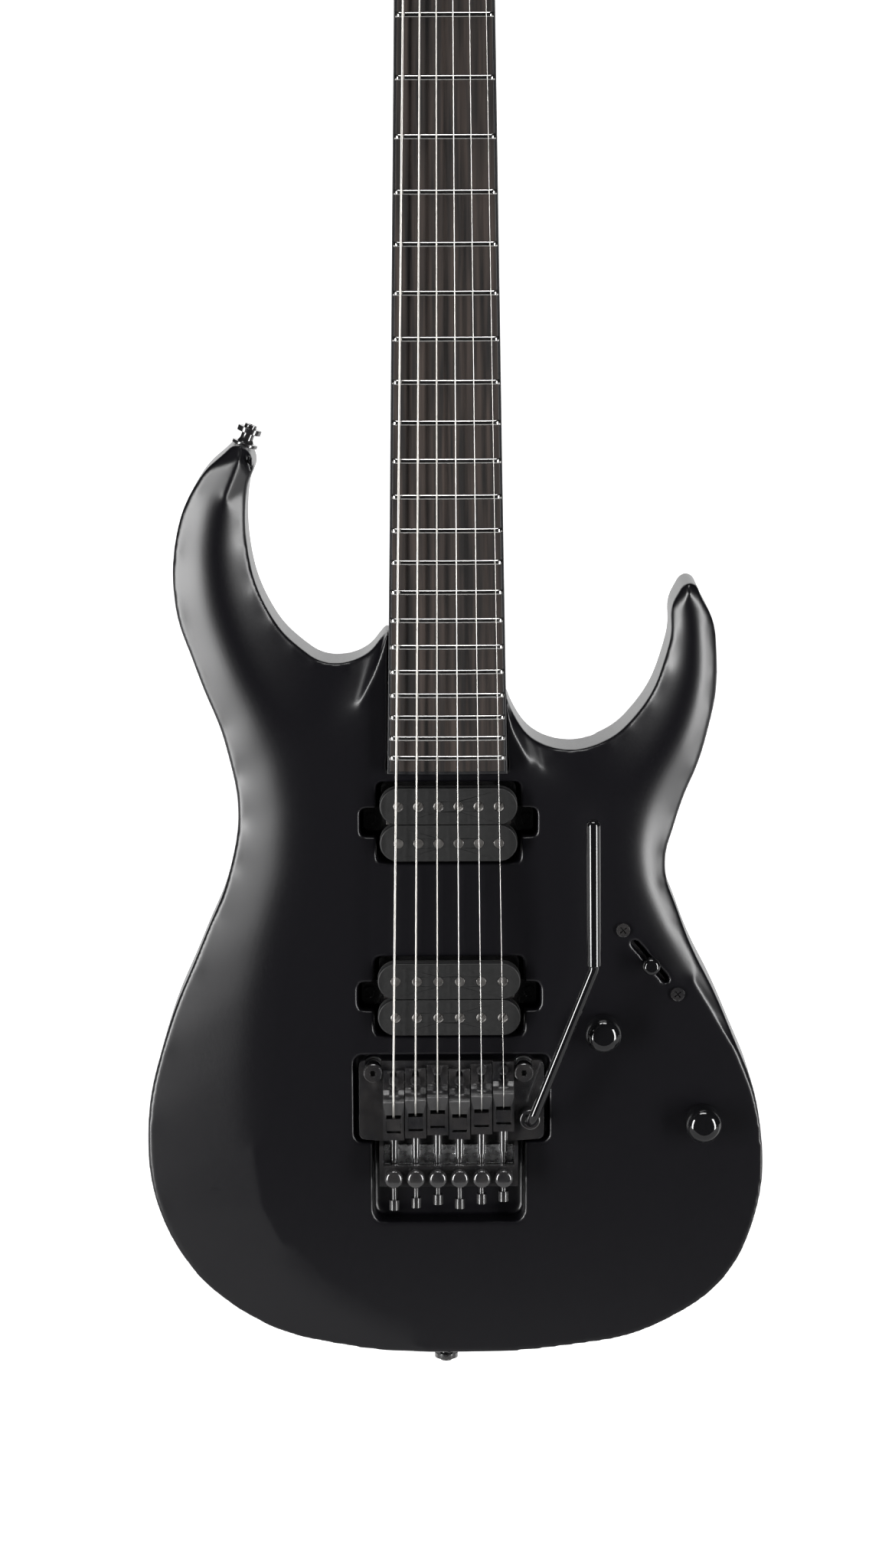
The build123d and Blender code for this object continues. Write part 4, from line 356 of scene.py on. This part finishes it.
def many(parts):
    """Joins lists of vertices and faces into one."""
    verts = []
    faces = []
    for part_verts, part_faces in parts:
        start = len(verts)
        verts.extend(part_verts)
        faces.extend([tuple(k + start for k in face) for face in part_faces])
    return verts, faces


def turned(profile, centre, axis, sides, shape=None):
    """A closed form turned round an axis from (distance, radius) pairs; shape varies the radius."""
    axis = Vector(axis).normalized()
    first = axis.orthogonal().normalized()
    second = axis.cross(first)
    verts = []
    faces = []
    for i, (reach, radius) in enumerate(profile):
        for k in range(sides):
            turn = 2 * pi * k / sides
            r = radius if shape is None else shape(i, k, radius)
            verts.append(Vector(centre) + axis * reach
                         + (first * cos(turn) + second * sin(turn)) * r)
    for i in range(len(profile) - 1):
        for k in range(sides):
            after = (k + 1) % sides
            faces.append((i * sides + k, i * sides + after,
                          (i + 1) * sides + after, (i + 1) * sides + k))
    faces.append(tuple(range(sides))[::-1])
    faces.append(tuple((len(profile) - 1) * sides + k for k in range(sides)))
    return verts, faces


def metres(points):
    return [Vector(p) * MM for p in points]


def bake_modifiers(thing):
    """Replaces a piece's mesh with what its modifiers make of it."""
    graph = bpy.context.evaluated_depsgraph_get()
    made = bpy.data.meshes.new_from_object(thing.evaluated_get(graph))
    thing.modifiers.clear()
    thing.data = made


# ------------------------------------------------------------------ body
VOXEL = 1.0
RIDGE_PASSES = 200
ALL_PASSES = 5


def edge_ends(mesh):
    ends = np.zeros(len(mesh.edges) * 2, np.int64)
    mesh.edges.foreach_get("vertices", ends)
    return ends.reshape(-1, 2)


def relax(co, ends, weight, passes):
    """Moves each vertex part of the way to its neighbours' middle, some number of times."""
    count = np.bincount(ends.ravel(), minlength=len(co)).astype(float)
    for _ in range(passes):
        middle = np.empty_like(co)
        for axis in range(3):
            column = co[:, axis]
            total = np.bincount(ends[:, 0], column[ends[:, 1]], len(co))
            total += np.bincount(ends[:, 1], column[ends[:, 0]], len(co))
            middle[:, axis] = total / count
        co += (middle - co) * weight[:, None]
    return co


def spread(value, ends, passes):
    """The largest value within so many edges of each vertex."""
    for _ in range(passes):
        wider = value.copy()
        np.maximum.at(wider, ends[:, 0], value[ends[:, 1]])
        np.maximum.at(wider, ends[:, 1], value[ends[:, 0]])
        value = wider
    return value


def build_body():
    """The body's faceted slopes, melted into soft sprayed curves; its pockets stay crisp."""
    body = bpy.data.objects.new("body_shell", nodes["body"].data.copy())
    bpy.context.scene.collection.objects.link(body)
    weld = body.modifiers.new("weld", "WELD")
    weld.merge_threshold = SEAM
    remesh = body.modifiers.new("remesh", "REMESH")
    remesh.mode = "VOXEL"
    remesh.voxel_size = VOXEL * MM * 1.0
    bake_modifiers(body)
    mesh = body.data
    ends = edge_ends(mesh)
    co = np.zeros(len(mesh.vertices) * 3)
    mesh.vertices.foreach_get("co", co)
    co = co.reshape(-1, 3)
    facing = np.zeros(len(mesh.vertices) * 3)
    mesh.vertices.foreach_get("normal", facing)
    facing = facing.reshape(-1, 3)
    steep = (np.abs(facing[:, 1]) < 0.8).astype(float)
    near_wall = spread(steep, ends, 3)
    sloped = (np.abs(facing[:, 1]) < 0.985) & (near_wall < 0.5)
    band = spread(sloped.astype(float), ends, 12) * (1 - near_wall)
    co = relax(co, ends, 0.5 * band, RIDGE_PASSES)
    co = relax(co, ends, np.full(len(co), 0.5), ALL_PASSES)
    low, high = (np.array(v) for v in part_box("body"))
    co = np.clip(co, low, high)
    mesh.vertices.foreach_set("co", co.ravel())
    mesh.update()
    thin = body.modifiers.new("thin", "DECIMATE")
    thin.ratio = 0.3
    bake_modifiers(body)
    body.data.materials.clear()
    body.data.materials.append(LACQUER)
    for face in body.data.polygons:
        face.use_smooth = True
        face.material_index = 0
    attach(body, "guitar")
    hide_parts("body")


build_body()


# ------------------------------------------------------------------ frets and side dots
def half_width(z):
    return (NUT_WIDTH + (BOARD_END_WIDTH - NUT_WIDTH) * -z / BOARD_LENGTH) / 2


def rise(height, x):
    return height - x * x / (2 * BOARD_RADIUS)


def fret(z):
    """One fret: a domed crown that follows the board's curve and is bevelled at its ends."""
    arc = 10
    steps = 28
    half = half_width(z) - FRET_MARGIN
    verts = []
    faces = []
    for i in range(steps + 1):
        x = half * (2 * i / steps - 1)
        shorten = min(1.0, 0.25 + (half - abs(x)) / 1.1)
        for k in range(arc + 1):
            turn = pi * k / arc
            across = cos(turn) * FRET_WIDTH / 2
            height = rise(BOARD_HEIGHT, x) + sin(turn) ** 0.75 * FRET_CROWN * shorten
            verts.append((x, -height, z + across))
        verts.append((x, -rise(BOARD_HEIGHT - 1.2, x), z - FRET_WIDTH / 2))
        verts.append((x, -rise(BOARD_HEIGHT - 1.2, x), z + FRET_WIDTH / 2))
    ring = arc + 3
    for i in range(steps):
        for k in range(ring):
            after = (k + 1) % ring
            faces.append((i * ring + k, (i + 1) * ring + k,
                          (i + 1) * ring + after, i * ring + after))
    faces.append(tuple(range(ring)))
    faces.append(tuple(steps * ring + k for k in range(ring))[::-1])
    return metres(verts), faces


fret_lines = [-SCALE_LENGTH * (1 - 2 ** (-n / 12)) for n in range(1, FRET_COUNT + 1)]
frets = new_piece("fret_crowns", *many([fret(z) for z in fret_lines]), FRET_WIRE)
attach(frets, "guitar")
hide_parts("frets")

DOTS = {3: (0,), 5: (0,), 7: (0,), 9: (0,), 12: (-4, 4), 15: (0,), 17: (0,), 19: (0,), 21: (0,),
        24: (-2.5, 2.5)}
dots = []
for number, shifts in DOTS.items():
    before = fret_lines[number - 2]
    z = (before + fret_lines[number - 1]) / 2
    for shift in shifts:
        centre = Vector((-half_width(z + shift) + 0.3, -(BOARD_HEIGHT - 2.6), z + shift)) * MM
        profile = [(-0.0003, 0.00095), (0.00025, 0.00095), (0.00032, 0.0008)]
        dots.append(turned(profile, centre, (-1, 0, 0), 20))
side_dots = new_piece("side_dots", *many(dots), DOT)
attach(side_dots, "guitar")


# ------------------------------------------------------------------ strings
head_out = Vector((0, -cos(HEAD_TILT), sin(HEAD_TILT)))
head_up = Vector((0, sin(HEAD_TILT), cos(HEAD_TILT)))
head_start = Vector((0, -NECK_TOP, HEAD_START))


def on_head(across, along, height):
    return head_start + Vector((across, 0, 0)) + head_up * along + head_out * height


def post_at(i):
    return -21.5 + TUNER_SHIFT * i, 36 + TUNER_PITCH * i


def string_path(i):
    """A string's line from its saddle to its post, and three turns round the post."""
    radius = GAUGES[i] / 2
    bridge_x = (i - 2.5) * BRIDGE_SPACING
    nut_x = (i - 2.5) * NUT_SPACING
    start = BRIDGE + INTONATION[i]
    height = rise(STRING_HEIGHT_BRIDGE, bridge_x) + radius + 0.05
    nut_height = rise(STRING_HEIGHT_NUT, nut_x) + radius + 0.05
    across, along = post_at(i)
    reach = POST_WAIST + 0.05 + radius
    lean = (across + reach - nut_x) / along
    points = [
        Vector((bridge_x, -height + 5, start - SLOT - 1)),
        Vector((bridge_x, -height + 1.2, start - SLOT - 0.9)),
        Vector((bridge_x, -height + 0.5, start - SLOT + 0.2)),
        Vector((bridge_x, -height, start - CREST)),
        Vector((bridge_x, -height, start - CREST + 2)),
        Vector((bridge_x, -height, PIVOT_Z)),
    ]
    first = points[-1]
    nut = Vector((nut_x, -nut_height, 0))
    for step in range(1, 40):
        points.append(first.lerp(nut, step / 40))
    points += [nut, Vector((nut_x, -nut_height, NUT_DEPTH))]
    under = on_head(nut_x + lean * RETAINER_ALONG, RETAINER_ALONG, RETAINER_FOOT - radius - 0.3)
    points += [under]
    for turn in np.linspace(0, 2 * pi * POST_TURNS, 88):
        drop = GAUGES[i] * (0.9 - 0.65 * turn / (2 * pi)) if turn else 0.9 * GAUGES[i]
        points.append(on_head(across + reach * cos(turn), along + reach * sin(turn),
                              WRAP_HEIGHT + drop - 0.9 * GAUGES[i]))
    return points


for i, gauge in enumerate(GAUGES):
    made = WOUND_WIRE if i < WOUND else PLAIN_WIRE
    verts, faces = tube(metres(string_path(i)), gauge / 2 * MM, 12)
    piece = new_piece(f"string_{i + 1}", verts, faces, made)
    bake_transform(piece)
    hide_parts("strings")


# ------------------------------------------------------------------ tremolo springs
def coil_spring(x):
    """A close-wound spring with a straight hook at each end."""
    ring = SPRING_RADIUS - WIRE / 2
    turns = int((COIL_HIGH - COIL_LOW - WIRE) / (WIRE * 1.05))
    points = [Vector((x, SPRING_AXIS, HOOK_LOW)), Vector((x, SPRING_AXIS, COIL_LOW - 3)),
              Vector((x + ring * 0.5, SPRING_AXIS, COIL_LOW - 0.7))]
    for step in range(turns * 20 + 1):
        turn = 2 * pi * step / 20
        z = COIL_LOW + WIRE / 2 + (COIL_HIGH - COIL_LOW - WIRE) * step / (turns * 20)
        points.append(Vector((x + ring * cos(turn), SPRING_AXIS + ring * sin(turn), z)))
    points += [Vector((x + ring * 0.5, SPRING_AXIS, COIL_HIGH + 0.7)),
               Vector((x, SPRING_AXIS, COIL_HIGH + 3)), Vector((x, SPRING_AXIS, HOOK_HIGH))]
    return tube(metres(points), WIRE / 2 * MM, 8)


springs = new_piece("coil_springs", *many([coil_spring(x) for x in SPRINGS]), STEEL)
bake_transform(springs)
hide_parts("tremolo_springs")


# ------------------------------------------------------------------ fine tuners
KNURL_DEPTH = 0.00022
HEAD_DEPTH = 0.0056


def knurled(i, k, radius):
    """Knurling on the head's side, left off its chamfers."""
    return radius - (KNURL_DEPTH if i in (5, 6) and k % 4 < 2 else 0.0)


for i in range(6):
    low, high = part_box(f"fine_tuner_{i + 1}")
    centre = ((low.x + high.x) / 2, 0, (low.z + high.z) / 2)
    foot, top = -high.y, -low.y
    head_foot = top - HEAD_DEPTH
    stem, head = 0.0018, FINE_TUNER_HEAD * MM
    profile = [
        (foot, stem * 0.7), (foot + 0.0005, stem), (head_foot - 0.0003, stem),
        (head_foot, head - 0.0008), (head_foot + 0.0004, head - 0.0002),
        (head_foot + 0.0009, head), (top - 0.0012, head), (top - 0.0007, head - 0.0003),
        (top - 0.0002, head - 0.0011), (top, head - 0.0016),
    ]
    verts, faces = turned(profile, centre, (0, -1, 0), 96, knurled)
    piece = new_piece(f"fine_tuner_head_{i + 1}", verts, faces, BLACK_METAL)
    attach(piece, f"fine_tuner_{i + 1}")
    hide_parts(f"fine_tuner_{i + 1}")


# ------------------------------------------------------------------ stage, light and camera
FLOOR = cad_low.z - 0.2
FLOOR_FRONT = -0.6
BACKDROP_Y = 6.0
BEND = 0.5


def sweep_backdrop():
    """A pale floor that curves up into a wall behind the guitar."""
    profile = [(FLOOR_FRONT, FLOOR), (0.0, FLOOR), (BACKDROP_Y - BEND, FLOOR)]
    for step in range(1, 13):
        turn = pi / 2 * step / 12
        profile.append((BACKDROP_Y - BEND + BEND * sin(turn), FLOOR + BEND * (1 - cos(turn))))
    profile.append((BACKDROP_Y, FLOOR + 4.0))
    verts = []
    for y, z in profile:
        verts += [(-4, y, z), (4, y, z)]
    faces = [(2 * i, 2 * i + 1, 2 * i + 3, 2 * i + 2) for i in range(len(profile) - 1)]
    paper = material("paper", (0.6, 0.6, 0.6), 0.9, specular=0.1)
    shader = paper.node_tree.nodes["Principled BSDF"]
    where = add_node(paper, "ShaderNodeTexCoord")
    split = add_node(paper, "ShaderNodeSeparateXYZ")
    join(paper, where.outputs["Object"], split.inputs["Vector"])
    reach = add_node(paper, "ShaderNodeMapRange")
    reach.inputs["From Min"].default_value = 0.0
    reach.inputs["From Max"].default_value = 0.2
    reach.inputs["To Max"].default_value = 1.0
    join(paper, split.outputs["Y"], reach.inputs["Value"])
    shader.inputs["Emission Color"].default_value = (1, 1, 1, 1)
    join(paper, reach.outputs["Result"], shader.inputs["Emission Strength"])
    new_piece("floor", verts, faces, paper)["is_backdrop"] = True


sweep_backdrop()


def softbox(name, place, aim, width, height, power):
    light = bpy.data.lights.new(name, "AREA")
    light.shape = "RECTANGLE"
    light.size = width
    light.size_y = height
    light.energy = power
    thing = bpy.data.objects.new(name, light)
    bpy.context.scene.collection.objects.link(thing)
    thing.location = place
    thing.rotation_euler = (Vector(aim) - Vector(place)).to_track_quat("-Z", "Y").to_euler()


MIDDLE = (0, 0, -0.55)
softbox("left_box", (-1.5, -1.15, -0.6), MIDDLE, 0.45, 1.6, 60)
softbox("right_box", (1.5, -1.15, -0.6), MIDDLE, 0.45, 1.6, 50)
softbox("top_box", (0, -0.5, 1.6), MIDDLE, 1.2, 0.5, 22)

world = bpy.data.worlds.new("studio")
bpy.context.scene.world = world
world.use_nodes = True
world.node_tree.nodes["Background"].inputs["Color"].default_value = (1, 1, 1, 1)
world.node_tree.nodes["Background"].inputs["Strength"].default_value = 0.015

TILT = radians(10.981)
ROLL = radians(0.23)
CAMERA_AT = (-3.08, -1858.9, -139.5)
camera = bpy.data.objects.new("camera", bpy.data.cameras.new("camera"))
bpy.context.scene.collection.objects.link(camera)
camera.data.sensor_width = 36
camera.data.lens = 89.54
camera.data.clip_end = 50
camera.location = Vector(CAMERA_AT) * MM
looking = Vector((0, cos(TILT), -sin(TILT)))
camera.rotation_mode = "QUATERNION"
camera.rotation_quaternion = looking.to_track_quat("-Z", "Y") @ Quaternion((0, 0, 1), -ROLL)
bpy.context.view_layer.update()
bpy.context.scene.camera = camera
bpy.context.scene.view_settings.view_transform = "Standard"

low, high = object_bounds()
